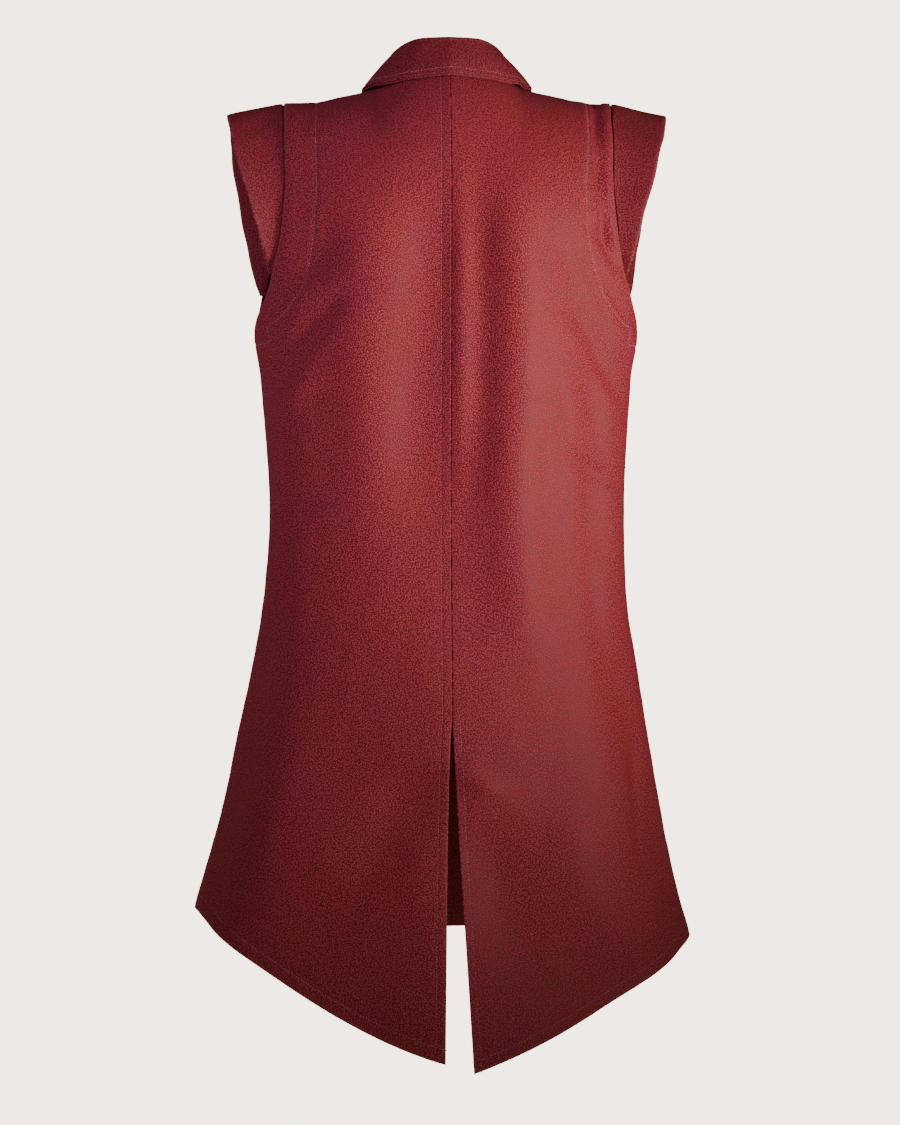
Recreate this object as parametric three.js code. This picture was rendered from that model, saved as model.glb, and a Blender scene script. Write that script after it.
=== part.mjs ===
// A long sleeveless waistcoat of heavy cotton canvas, in its worn shape with nobody in it: two back panels with
// a centre seam that opens into a vent, two fronts that lap, a turned-down collar of two layers, and a doubled
// wing over each shoulder. Millimetres, +Z up, the wearer faces -Y and their left is +X. The origin is where
// the shoulders carry it: the middle of the neck, level with the points where neck and shoulder seam meet.
import * as THREE from "three";

// Cloth
const CLOTH = 1.8; // wall of the panels
const COLLAR_CLOTH = 1.4; // wall of each of the collar's two layers
const WING_CLOTH = 3.6; // a wing is the same cloth folded double over a stiffener
const SEAM_GAP = 0.3; // what is left free between two pieces sewn to each other
const LAYER_GAP = 0.5; // and between two layers that lie on each other
const TUCK_GAP = 0.8; // and between a wing and the panel edge that lies over it

// Cut
const NECK_HALF = 78; // from the centre line to where neck and shoulder seam meet
const NECK_BEHIND = 66; // from the neck's middle to the neckline at the centre back
const NECK_AHEAD = 73; // and at the centre front
const LAP = 20; // how far each front runs past the centre front
const LAP_RISE = CLOTH + LAYER_GAP; // between the two fronts' middles where they lap
const LAP_EASE = { from: 0.2, to: 2.2 }; // in laps past the lap's edge, where that rise dies away
const UNDERARM_Z = -254;
const HEM_SIDE_Z = -878; // hem at the side seams
const HEM_FRONT_Z = { left: -903, right: -903 }; // hem at the centre front
const HEM_TIP_Z = { left: -1004, right: -1017 }; // the two points of the hem at the centre back
const HEM_BOW = { left: 1.3, right: 1.12 }; // powers that bow each half of the hem from centre to side
const SHOULDER_TILT = 2; // the left shoulder sits this much lower, and the right one higher
const HEM_TILT = 16; // the skirt hangs this much higher at the left side, and lower at the right
const TILT_FROM_Z = -560; // the tilt begins at this height
const VENT_TOP_Z = -661;
const VENT_OPEN = { left: 9, right: 19 }; // how far each edge of the vent stands from the centre at the tips
const VENT_POWER = { left: 0.55, right: 1.05 }; // how soon each edge leaves the centre line

// Form: half-widths to the left and right side seams, and depths to the centre back and centre front.
const SECTIONS = [
  { z: -1010, left: 297, right: 287, back: 176, front: 170 },
  { z: -865, left: 262, right: 253, back: 158, front: 152 },
  { z: -815, left: 249, right: 240, back: 151, front: 146 },
  { z: -720, left: 227, right: 219, back: 138, front: 135 },
  { z: -625, left: 207, right: 202, back: 124, front: 124 },
  { z: -525, left: 192, right: 189, back: 108, front: 116 },
  { z: -430, left: 188, right: 187, back: 99, front: 113 },
  { z: -305, left: 196, right: 192, back: 110, front: 124 },
  { z: -254, left: 203, right: 200, back: 114.5, front: 127 },
  { z: -220, left: 201, right: 200, back: 117, front: 125 },
  { z: -170, left: 197, right: 197, back: 118, front: 122 },
  { z: -150, left: 197, right: 197, back: 118, front: 120 },
];
// The height that each face's cloth rises to over the shoulder, by distance from the centre line.
const SHOULDER_LINE = [
  { x: 0, back: 50, front: -54 },
  { x: 40, back: 32, front: -34 },
  { x: 60, back: 17, front: -17 },
  { x: 78, back: 2, front: 2 },
  { x: 91, back: -2.6, front: -2.6 },
  { x: 107, back: -6.1, front: -6.1 },
  { x: 140, back: -12.8, front: -12.8 },
  { x: 173, back: -14.8, front: -14.8 },
  { x: 200, back: -16, front: -16 },
];
// The armhole's edge, as a share of the form's half-width at each height.
const ARMHOLE = [
  { z: -254, back: 1, front: 1 },
  { z: -248, back: 0.995, front: 0.997 },
  { z: -238, back: 0.98, front: 0.986 },
  { z: -218, back: 0.943, front: 0.972 },
  { z: -190, back: 0.912, front: 0.958 },
  { z: -150, back: 0.872, front: 0.92 },
  { z: -100, back: 0.85, front: 0.89 },
  { z: -50, back: 0.86, front: 0.875 },
  { z: -14, back: 0.875, front: 0.875 },
];
// Turn is the height where each face stops being upright and begins to round over the shoulder, square the
// power that squares its sections, and underarmRow the height at the centre of the row that ends under the arm.
const FACES = {
  back: { sign: 1, turn: -150, square: 0.8, hem: HEM_TIP_Z, underarmRow: -240, neck: NECK_BEHIND },
  front: { sign: -1, turn: -170, square: 0.85, hem: HEM_FRONT_Z, underarmRow: -254, neck: NECK_AHEAD },
};
// The largest soft folds. Places round the body are shares of the way from the centre line (0) to a side seam
// (1 at the left, -1 at the right); depth is how far the cloth stands out, or in where it is negative.
const FOLDS = [
  { face: "back", from: 0, fromZ: -20, to: 0, toZ: -540, depth: -7, width: 34 }, // hollow of the spine
  { face: "back", from: 0.42, fromZ: -150, to: 0.86, toZ: -345, depth: -5, width: 20 }, // pulls to underarms
  { face: "back", from: -0.4, fromZ: -170, to: -0.84, toZ: -340, depth: -6, width: 20 },
  { face: "back", from: -0.3, fromZ: -700, to: -0.42, toZ: -990, depth: -6, width: 34 }, // skirt's flutes
  { face: "back", from: -0.72, fromZ: -560, to: -0.8, toZ: -900, depth: -8, width: 26 },
  { face: "back", from: 0.34, fromZ: -640, to: 0.4, toZ: -980, depth: -6, width: 36 },
  { face: "back", from: 0.78, fromZ: -600, to: 0.82, toZ: -880, depth: -6, width: 28 },
  { face: "front", from: 0.5, fromZ: -160, to: 0.84, toZ: -330, depth: -5, width: 20 },
  { face: "front", from: -0.46, fromZ: -170, to: -0.82, toZ: -335, depth: -5, width: 20 },
  { face: "front", from: 0.42, fromZ: -560, to: 0.5, toZ: -900, depth: -8, width: 34 },
  { face: "front", from: -0.38, fromZ: -600, to: -0.46, toZ: -910, depth: -7, width: 34 },
  { face: "front", from: -0.74, fromZ: -580, to: -0.8, toZ: -890, depth: -6, width: 26 },
  { face: "front", from: 0.8, fromZ: -620, to: 0.84, toZ: -880, depth: -5, width: 26 },
];
const FOLD_REACH = 200; // millimetres that one share round the body stands for, in a fold's width

// Wings: how wide each is at the shoulder seam, and the way it points there, behind and ahead.
const WING_WIDTH = 60;
const WING_END_WIDTH = 3;
const WING_FULLNESS = { back: 2, front: 2.15 }; // powers: a higher one keeps the wing wide for longer
const WING_END_Z = -190;
const WING_BACK_LEAN = new THREE.Vector3(0.96, 0.1, -0.22);
const WING_TOP_LEAN = new THREE.Vector3(0.97, 0, -0.215);
const WING_FRONT_LEAN = new THREE.Vector3(0.96, -0.12, -0.22);
const WING_BEND = 0.45; // share of the width over which a wing turns from the panel's slope to its own
const WING_COLUMNS = 5;
const WING_CLEAR = 1.5; // how far a wing runs on past the panel's edge before it bends away

// Collar: the fold along its top and its outer edge, from the centre back (turn 0) to the centre front (180).
const [LAP_FROM_TURN, LAP_TURN] = [100, 140]; // between these turns the collar rises over the lapped fronts
const COLLAR_END = 176; // the turn where each end of the collar lies, just short of the centre front
const COLLAR = [
  { turn: 0, rollX: 0, rollY: 60, rollZ: 48, edgeX: 0, edgeY: 77 },
  { turn: 30, rollX: 30, rollY: 53, rollZ: 47.5, edgeX: 42, edgeY: 69 },
  { turn: 60, rollX: 50, rollY: 31, rollZ: 42, edgeX: 71, edgeY: 43 },
  { turn: 90, rollX: 58, rollY: 0, rollZ: 36, edgeX: 88, edgeY: 2 },
  { turn: 120, rollX: 52, rollY: -33, rollZ: 19, edgeX: 88, edgeY: -50 },
  { turn: 150, rollX: 30, rollY: -60, rollZ: -18, edgeX: 75, edgeY: -88 },
  { turn: COLLAR_END, rollX: 5, rollY: -72, rollZ: -50, edgeX: 52, edgeY: -104 },
];
const COLLAR_FOLD = 2.3; // radius of the fold, between the two layers
const COLLAR_SPREAD = COLLAR_CLOTH + LAYER_GAP; // between the middles of the two layers
const COLLAR_LIFT = 0.6; // from the panels' top edge up to the foot of the stand
const COLLAR_REST = 1.7; // from the panels up to the fall's edge, which leans on them at a slant
const FOLD_STEPS = [180, 135, 90, 45, 0]; // degrees round the fold, from the stand's side to the fall's
const FALL_STEPS = [0.33, 0.68, 1]; // shares of the way down the fall
const COLLAR_BULGE = 1.5; // how far the fall bows out between fold and edge
const UNDER_COLLAR_PEEP = 2; // how far the under layer shows past the upper one

// Grid of each panel
const VENT_ROWS = 7;
const BODY_ROWS = 8;
const SHOULDER_ROWS = 7;
const ARMHOLE_STEPS_Z = [-248, -238, -218, WING_END_Z, -170, -150];
const NECK_STEP = 15; // degrees round the neck between two columns, and between two sections of the collar
const SHOULDER_COLUMNS = [0.15, 0.32, 0.49, 0.66, 0.81, 0.92, 1]; // shares from neck column to armhole

const canvas = (color) => new THREE.MeshStandardMaterial({ color, roughness: 0.85, metalness: 0 });
const DARK_RED = 0x7d2630;
const DEEP_RED = 0x6c1f2a; // the underside of the collar

const lerp = THREE.MathUtils.lerp;
const smooth = THREE.MathUtils.smoothstep;
const QUARTER = Math.PI / 2;

// A smooth curve through a table's rows that never overshoots them.
function curveOf(table, key, field) {
  const x = table.map((row) => row[key]);
  const y = table.map((row) => row[field]);
  const last = x.length - 1;
  const slope = x.slice(1).map((_, i) => (y[i + 1] - y[i]) / (x[i + 1] - x[i]));
  const tangent = x.map((_, i) => {
    if (i === 0) return slope[0];
    if (i === last) return slope[last - 1];
    const [a, b] = [slope[i - 1], slope[i]];
    return a * b <= 0 ? 0 : (2 * a * b) / (a + b);
  });
  return (at) => {
    const clamped = Math.min(Math.max(at, x[0]), x[last]);
    let i = 0;
    while (i < last - 1 && clamped > x[i + 1]) i++;
    const width = x[i + 1] - x[i];
    const t = (clamped - x[i]) / width;
    const ease = t * t * (3 - 2 * t);
    const start = t * (1 - t) * (1 - t) * width * tangent[i];
    const end = t * t * (t - 1) * width * tangent[i + 1];
    return y[i] * (1 - ease) + y[i + 1] * ease + start + end;
  };
}

const halfAt = { left: curveOf(SECTIONS, "z", "left"), right: curveOf(SECTIONS, "z", "right") };
const depthAt = { back: curveOf(SECTIONS, "z", "back"), front: curveOf(SECTIONS, "z", "front") };
const shoulderAt = {
  back: curveOf(SHOULDER_LINE, "x", "back"),
  front: curveOf(SHOULDER_LINE, "x", "front"),
};
const collarFields = Object.keys(COLLAR[0]).map((field) => [field, curveOf(COLLAR, "turn", field)]);
const collarAt = Object.fromEntries(collarFields);
const armholeAt = { back: curveOf(ARMHOLE, "z", "back"), front: curveOf(ARMHOLE, "z", "front") };

// How far the folds move the cloth out at a place round the body and a height.
function foldAt(face, around, z) {
  let moved = 0;
  for (const fold of FOLDS) {
    if (fold.face !== face) continue;
    const alongX = (fold.to - fold.from) * FOLD_REACH;
    const alongZ = fold.toZ - fold.fromZ;
    const fromX = (around - fold.from) * FOLD_REACH;
    const fromZ = z - fold.fromZ;
    const length = Math.hypot(alongX, alongZ);
    const along = (fromX * alongX + fromZ * alongZ) / (length * length);
    const across = (fromX * alongZ - fromZ * alongX) / length;
    const ends = smooth(along, -0.15, 0.3) * (1 - smooth(along, 0.75, 1.15));
    moved += fold.depth * ends * Math.exp(-((across / fold.width) ** 2));
  }
  return moved * (1 - smooth(Math.abs(around), 0.9, 1));
}

// One point of the form. Angle runs from the centre line (0) to the left (+) or right (-) side seam. A level
// below 0 is millimetres below the face's turn, and one above it is the share of the way over the shoulder.
function formPoint(face, angle, level) {
  const { sign, turn, square } = FACES[face];
  const ringZ = turn + Math.min(level, 0);
  const rise = Math.max(level, 0) * QUARTER;
  const half = halfAt[angle >= 0 ? "left" : "right"](ringZ);
  const depth = depthAt[face](ringZ) * Math.pow(Math.max(Math.cos(angle), 0), square);
  const x = half * Math.sin(angle);
  const shoulder = shoulderAt[face](Math.abs(x)) - (SHOULDER_TILT * x) / halfAt.left(turn);
  const z = ringZ + (shoulder - turn) * Math.sin(rise);
  const fold = foldAt(face, angle / QUARTER, z) * Math.cos(rise);
  const tilt = HEM_TILT * (x / halfAt.left(HEM_SIDE_Z)) * (1 - smooth(z, HEM_SIDE_Z, TILT_FROM_Z));
  return new THREE.Vector3(
    x + fold * Math.sin(angle),
    sign * (SEAM_GAP / 2 + depth * Math.cos(rise) + fold * Math.cos(angle)),
    z + tilt,
  );
}

// The form's outward normal, from two short steps that stay on the panel.
function formNormal(face, angle, level) {
  const step = 0.004;
  const angleStep = angle > 0 ? -step : step;
  const levelStep = level > 0 ? -step : -1;
  const here = formPoint(face, angle, level);
  const round = formPoint(face, angle + angleStep, level).sub(here).multiplyScalar(Math.sign(angleStep));
  const down = formPoint(face, angle, level + levelStep).sub(here);
  return round.cross(down).normalize().multiplyScalar(FACES[face].sign);
}

// The level of a panel's top edge: the neckline inside the neck's half-width, the shoulder seam beyond it.
function topLevel(face, angle) {
  const { turn, square, neck } = FACES[face];
  const x = Math.abs(halfAt.left(turn) * Math.sin(angle));
  if (x > NECK_HALF - 0.01) return 1;
  const depth = depthAt[face](turn) * Math.pow(Math.cos(angle), square);
  const reach = neck * Math.sqrt(1 - (x / NECK_HALF) ** 2);
  return Math.acos(reach / depth) / QUARTER;
}

// Rows of a panel from hem to top: the level at the centre line and at the outer edge, and that edge's angle.
function panelRows(face, side) {
  const { turn, hem, underarmRow } = FACES[face];
  const rows = [];
  const skirtRow = (centreZ, edgeZ) => rows.push({ centreZ, edgeZ, edge: QUARTER });
  const ventEdgeZ = lerp(HEM_SIDE_Z, UNDERARM_Z, 0.36);
  for (let i = 0; i < VENT_ROWS; i++) {
    const t = i / VENT_ROWS;
    skirtRow(lerp(hem[side], VENT_TOP_Z, t), lerp(HEM_SIDE_Z, ventEdgeZ, t));
  }
  for (let i = 0; i <= BODY_ROWS; i++) {
    const t = i / BODY_ROWS;
    skirtRow(lerp(VENT_TOP_Z, underarmRow, t), lerp(ventEdgeZ, UNDERARM_Z, t));
  }
  for (const edgeZ of ARMHOLE_STEPS_Z.filter((z) => z <= turn)) {
    const t = (edgeZ - UNDERARM_Z) / (turn - UNDERARM_Z);
    rows.push({ centreZ: lerp(underarmRow, turn, t), edgeZ, edge: Math.asin(armholeAt[face](edgeZ)) });
  }
  for (let i = 1; i <= SHOULDER_ROWS; i++) {
    const share = i / SHOULDER_ROWS;
    let edge = Math.asin(armholeAt[face](turn));
    for (let pass = 0; pass < 4; pass++) {
      const x = halfAt.left(turn) * Math.sin(edge);
      const z = turn + (shoulderAt[face](x) - turn) * Math.sin(share * QUARTER);
      edge = Math.asin(armholeAt[face](z));
    }
    rows.push({ share, edge });
  }
  return rows;
}

// A place's angle round the form at the height of the turns, by its distance from the centre line.
const angleOf = (x) => Math.asin(x / halfAt.left(FACES.back.turn));
const LAP_ANGLE = angleOf(LAP);
const NECK_ANGLE = angleOf(NECK_HALF);
const TIP_ANGLE = panelRows("back", "left").at(-1).edge;

// Column angles at a panel's top row: its centre edge, even turns round the neck, then out to the armhole.
function topAngles(face) {
  const angles = [face === "back" ? 0 : LAP_ANGLE];
  for (let turn = NECK_STEP; turn < 90; turn += NECK_STEP) {
    const angle = angleOf(NECK_HALF * Math.sin(THREE.MathUtils.degToRad(turn)));
    if (face === "back" || turn > NECK_STEP) angles.push(angle);
  }
  angles.push(NECK_ANGLE);
  for (const share of SHOULDER_COLUMNS) angles.push(lerp(NECK_ANGLE, TIP_ANGLE, share));
  return angles;
}

// Angle of a back panel's centre edge: along the centre seam, and away from it down the vent.
function ventAngle(side, ringZ) {
  const down = THREE.MathUtils.clamp((VENT_TOP_Z - ringZ) / (VENT_TOP_Z - HEM_TIP_Z[side]), 0, 1);
  const open = SEAM_GAP / 2 + VENT_OPEN[side] * Math.pow(down, VENT_POWER[side]);
  return Math.asin(open / halfAt[side](ringZ));
}

// The level of a row at one angle.
function rowLevel(face, side, row, angle) {
  if (row.share !== undefined) return row.share * topLevel(face, angle);
  const out = Math.min(Math.abs(Math.sin(angle)) / Math.sin(row.edge), 1);
  return lerp(row.centreZ, row.edgeZ, Math.pow(out, HEM_BOW[side])) - FACES[face].turn;
}

// Points and normals of a panel. Columns run from its centre edge to its outer edge, rows from hem to top.
function panelGrid(face, side) {
  const sign = side === "left" ? 1 : -1;
  const start = face === "back" ? 0 : LAP_ANGLE;
  const shares = topAngles(face).map((angle) => (angle - start) / (TIP_ANGLE - start));
  return panelRows(face, side).map((row) => {
    const ringZ = row.centreZ ?? FACES[face].turn;
    const first = face === "back" ? ventAngle(side, ringZ) : Math.asin(LAP / halfAt.left(ringZ));
    const angles = shares.map((share) => sign * lerp(first, row.edge, share));
    if (face === "front") angles.unshift(-sign * first, 0);
    return angles.map((angle) => {
      const level = rowLevel(face, side, row, angle);
      return { point: formPoint(face, angle, level), normal: formNormal(face, angle, level), row, angle };
    });
  });
}

// A closed wall between two grids of points with the same rows and columns.
function wallBetween(outer, inner) {
  const rows = outer.length;
  const columns = outer[0].length;
  const points = [...outer.flat(), ...inner.flat()];
  const at = (layer, row, column) => layer * rows * columns + row * columns + column;
  const index = [];
  const quad = (a, b, c, d) => index.push(a, b, c, b, d, c);
  for (let r = 0; r < rows - 1; r++) {
    for (let c = 0; c < columns - 1; c++) {
      quad(at(0, r, c), at(0, r, c + 1), at(0, r + 1, c), at(0, r + 1, c + 1));
      index.push(at(1, r, c), at(1, r + 1, c), at(1, r, c + 1));
      index.push(at(1, r, c + 1), at(1, r + 1, c), at(1, r + 1, c + 1));
    }
    quad(at(0, r, 0), at(0, r + 1, 0), at(1, r, 0), at(1, r + 1, 0));
    quad(at(0, r + 1, columns - 1), at(0, r, columns - 1), at(1, r + 1, columns - 1), at(1, r, columns - 1));
  }
  for (let c = 0; c < columns - 1; c++) {
    quad(at(0, 0, c + 1), at(0, 0, c), at(1, 0, c + 1), at(1, 0, c));
    quad(at(0, rows - 1, c), at(0, rows - 1, c + 1), at(1, rows - 1, c), at(1, rows - 1, c + 1));
  }
  let volume = 0;
  for (let i = 0; i < index.length; i += 3) {
    const [a, b, c] = [points[index[i]], points[index[i + 1]], points[index[i + 2]]];
    volume += a.dot(b.clone().cross(c));
  }
  if (volume < 0) index.reverse(); // so that the faces point out
  const geometry = new THREE.BufferGeometry();
  geometry.setAttribute("position", new THREE.Float32BufferAttribute(points.flatMap((p) => p.toArray()), 3));
  geometry.setIndex(index);
  geometry.computeVertexNormals();
  return geometry;
}

// A grid's points moved along their normals, by a distance that is worked out for each.
const movedOut = (grid, distance) =>
  grid.map((row) => row.map((cell) => cell.point.clone().addScaledVector(cell.normal, distance(cell))));

// A panel's wall, half of it on each side of its grid, which may itself be shifted out or in.
function panelWall(grid, shift = () => 0) {
  const outer = movedOut(grid, (cell) => shift(cell) + CLOTH / 2);
  const inner = movedOut(grid, (cell) => shift(cell) - CLOTH / 2);
  return wallBetween(outer, inner);
}

function backPanel(side) {
  const grid = panelGrid("back", side);
  for (const [edge] of grid) edge.normal.setX(0).normalize(); // so that the seam's two edges face each other
  return { grid, geometry: panelWall(grid) };
}

// The fronts lap at the centre, left over right, so each leaves the form's surface there by half a wall.
function frontPanel(side) {
  const grid = panelGrid("front", side);
  const over = side === "left" ? 1 : -1;
  const shift = ({ angle }) => {
    const away = (Math.abs(angle) - LAP_ANGLE) / LAP_ANGLE;
    return (over * LAP_RISE * (1 - smooth(away, LAP_EASE.from, LAP_EASE.to))) / 2;
  };
  return { grid, geometry: panelWall(grid, shift) };
}

// A wing follows the armhole from behind, over the shoulder and down the front. It starts under the panels'
// edges, from their own points, and bends away from them to its folded outer edge.
function shoulderWing(side, backGrid, frontGrid) {
  const sign = side === "left" ? 1 : -1;
  const carries = ({ row }) => row.share !== undefined || row.edgeZ >= WING_END_Z;
  const behind = backGrid.filter((cells) => carries(cells[0]));
  const ahead = frontGrid.filter((cells) => carries(cells[0])).reverse();
  const line = [...behind, ...ahead.slice(1)].map((cells) => ({
    rim: cells.at(-1),
    under: cells.at(-2),
  }));
  const top = behind.length - 1;
  const ends = line.length - 1;
  const lengths = [0];
  for (let i = 1; i <= ends; i++) {
    lengths.push(lengths[i - 1] + line[i].rim.point.distanceTo(line[i - 1].rim.point));
  }
  const below = CLOTH / 2 + TUCK_GAP;
  const outer = line.map(({ rim, under }, i) => {
    const isBehind = i <= top;
    const end = isBehind ? 0 : ends;
    const share = (lengths[i] - lengths[end]) / (lengths[top] - lengths[end]); // 1 at the shoulder seam
    const fullness = isBehind ? WING_FULLNESS.back : WING_FULLNESS.front;
    const width = WING_END_WIDTH + (WING_WIDTH - WING_END_WIDTH) * (1 - (1 - share) ** fullness);
    const lean = (isBehind ? WING_BACK_LEAN : WING_FRONT_LEAN).clone().lerp(WING_TOP_LEAN, share * share);
    lean.normalize();
    lean.x *= sign;
    const start = rim.point.clone().addScaledVector(rim.normal, -below);
    const tucked = under.point.clone().addScaledVector(under.normal, -below);
    const along = start.clone().sub(tucked).normalize();
    start.addScaledVector(along, WING_CLEAR);
    const points = [tucked, start];
    for (let c = 1; c <= WING_COLUMNS; c++) {
      const t = c / WING_COLUMNS;
      const bend = start.clone().addScaledVector(along, WING_BEND * width);
      const edge = start.clone().addScaledVector(lean, width);
      const a = start.clone().lerp(bend, t);
      const b = bend.clone().lerp(edge, t);
      points.push(a.lerp(b, t));
    }
    return points;
  });
  const normals = gridNormals(outer);
  const inner = outer.map((row, r) =>
    row.map((point, c) => point.clone().addScaledVector(normals[r][c], -sign * WING_CLOTH)),
  );
  return wallBetween(outer, inner);
}

// Normals of a grid of free points, all on the same side of it.
function gridNormals(grid) {
  return grid.map((row, r) =>
    row.map((_, c) => {
      const [above, below] = [grid[Math.min(r + 1, grid.length - 1)][c], grid[Math.max(r - 1, 0)][c]];
      const [after, before] = [row[Math.min(c + 1, row.length - 1)], row[Math.max(c - 1, 0)]];
      return above.clone().sub(below).cross(after.clone().sub(before)).normalize();
    }),
  );
}

// Where the form lies over a place in plan near the neck, with its outward normal.
function formOver(x, y) {
  const face = y >= 0 ? "back" : "front";
  const { turn, square } = FACES[face];
  const angle = Math.asin(x / halfAt.left(turn));
  const depth = depthAt[face](turn) * Math.pow(Math.cos(angle), square);
  const level = Math.acos(Math.min(Math.abs(y) / depth, 1)) / QUARTER;
  return { point: formPoint(face, angle, level), normal: formNormal(face, angle, level) };
}

// The middle line of the collar's section at a turn round the neck, to the left (1) or right (-1): from the
// foot of the stand up to the fold and down to the outer edge. Every section has the same number of points.
function collarSection(side, turn) {
  const read = (field) => collarAt[field](turn);
  const bearing = THREE.MathUtils.degToRad(turn);
  const neck = formOver(side * NECK_HALF * Math.sin(bearing), neckReach(turn));
  const roll = new THREE.Vector3(side * read("rollX"), read("rollY"), read("rollZ"));
  const rest = formOver(side * read("edgeX"), read("edgeY"));
  const overLap = (LAP_RISE * smooth(turn, LAP_FROM_TURN, LAP_TURN)) / 2;
  const outward = rest.point.clone().sub(roll).setZ(0).normalize();
  const up = new THREE.Vector3(0, 0, 1);
  const crown = roll.clone().addScaledVector(up, -COLLAR_FOLD - COLLAR_SPREAD / 2 - COLLAR_CLOTH / 2);
  const foot = neck.point.clone().addScaledVector(up, CLOTH / 2 + COLLAR_LIFT + overLap);
  const stand = crown.clone().addScaledVector(outward, -COLLAR_FOLD);
  const points = [foot, foot.clone().lerp(stand, 0.5)];
  for (const degrees of FOLD_STEPS) {
    const round = THREE.MathUtils.degToRad(degrees);
    const across = outward.clone().multiplyScalar(COLLAR_FOLD * Math.cos(round));
    points.push(crown.clone().add(across).addScaledVector(up, COLLAR_FOLD * Math.sin(round)));
  }
  const start = points.at(-1);
  const height = CLOTH / 2 + COLLAR_REST + COLLAR_SPREAD / 2 + COLLAR_CLOTH / 2 + overLap;
  const end = rest.point.clone().addScaledVector(rest.normal, height);
  const drop = end.clone().sub(start).normalize();
  const lift = outward.clone().addScaledVector(drop, -outward.dot(drop)).normalize();
  for (const t of FALL_STEPS) {
    points.push(start.clone().lerp(end, t).addScaledVector(lift, COLLAR_BULGE * Math.sin(Math.PI * t)));
  }
  return points;
}

// A neckline point's distance behind (+) or ahead (-) of the neck's middle.
function neckReach(turn) {
  const along = Math.cos(THREE.MathUtils.degToRad(turn));
  return along * (along >= 0 ? NECK_BEHIND : NECK_AHEAD);
}

// One collar layer: the sections' middle lines moved to the layer's side, and given a wall. The under layer
// runs a little further than the upper one.
function collarLayer(layer) {
  const turns = [];
  for (let turn = NECK_STEP; turn < COLLAR_END; turn += NECK_STEP) turns.push(turn);
  turns.push(COLLAR_END);
  const onLeft = [0, ...turns].map((turn) => collarSection(1, turn));
  const onRight = turns.map((turn) => collarSection(-1, turn));
  const sections = [...onRight.reverse(), ...onLeft];
  const normals = gridNormals(sections);
  const side = layer === "upper" ? 1 : -1;
  const peep = layer === "upper" ? 0 : UNDER_COLLAR_PEEP;
  const shifted = (amount) =>
    sections.map((points, s) => {
      const moved = points.map((p, c) => p.clone().addScaledVector(normals[s][c], amount));
      const drop = points.at(-1).clone().sub(points.at(-2)).normalize();
      moved.at(-1).addScaledVector(drop, peep);
      return moved;
    });
  const middle = (side * COLLAR_SPREAD) / 2;
  return wallBetween(shifted(middle + COLLAR_CLOTH / 2), shifted(middle - COLLAR_CLOTH / 2));
}

const waistcoat = new THREE.Group();
function add(name, geometry, color = DARK_RED) {
  const mesh = new THREE.Mesh(geometry, canvas(color));
  mesh.name = name;
  waistcoat.add(mesh);
}

for (const side of ["left", "right"]) {
  const back = backPanel(side);
  const front = frontPanel(side);
  add(`back_${side}`, back.geometry);
  add(`front_${side}`, front.geometry);
  add(`shoulder_wing_${side}`, shoulderWing(side, back.grid, front.grid));
}
add("collar_upper", collarLayer("upper"));
add("collar_under", collarLayer("under"), DEEP_RED);

export default waistcoat;
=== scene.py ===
# %% [markdown]
# # A long sleeveless waistcoat in wine-red cotton
#
# The garment is two back panels with a vent, two fronts that lap, a turned-down collar and a doubled wing
# over each shoulder, all in heavy brushed cotton twill. It keeps its worn shape with nobody in it. The
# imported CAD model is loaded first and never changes: every piece made here is a thin, finely divided shell
# that stands for one CAD node and lies where that node lies. Lengths are millimetres until a mesh is
# written, then metres.

# %% The frame
import math

import bpy
import numpy as np
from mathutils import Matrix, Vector
from mathutils.kdtree import KDTree


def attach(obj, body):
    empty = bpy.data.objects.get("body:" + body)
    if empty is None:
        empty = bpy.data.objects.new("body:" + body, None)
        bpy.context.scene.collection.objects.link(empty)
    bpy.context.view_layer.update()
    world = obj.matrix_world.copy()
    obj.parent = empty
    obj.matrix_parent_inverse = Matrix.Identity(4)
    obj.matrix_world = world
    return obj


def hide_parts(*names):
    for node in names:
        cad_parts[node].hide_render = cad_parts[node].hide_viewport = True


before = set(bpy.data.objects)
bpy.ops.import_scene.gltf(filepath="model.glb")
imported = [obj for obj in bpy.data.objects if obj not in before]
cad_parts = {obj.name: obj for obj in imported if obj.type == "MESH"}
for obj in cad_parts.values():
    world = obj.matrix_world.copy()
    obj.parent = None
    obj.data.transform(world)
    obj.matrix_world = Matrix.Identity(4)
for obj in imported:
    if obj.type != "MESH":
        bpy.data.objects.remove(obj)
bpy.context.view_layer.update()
MM = 0.001
SIDES = {"left": 1, "right": -1}
print("CAD nodes:", ", ".join(sorted(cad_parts)))


def add_object(name, data):
    """An object in the scene, with a mesh, camera or lamp as its data."""
    made = bpy.data.objects.new(name, data)
    bpy.context.collection.objects.link(made)
    return made


# %% [markdown]
# ## Camera, floor and light
#
# The garment is looked at from behind, square on and level with its waist. A long lens far away keeps the
# sides nearly parallel, as in a shop picture. The camera could be aimed with a constraint, but two angles
# and a distance are easier to read, and nothing has to be applied later.

# %% Camera
CAMERA_DISTANCE = 3.2
CAMERA_TURN = math.radians(2.5)
CAMERA_ASIDE = -0.0032
CAMERA_HEIGHT = -0.499
LENS = 96.6


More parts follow.
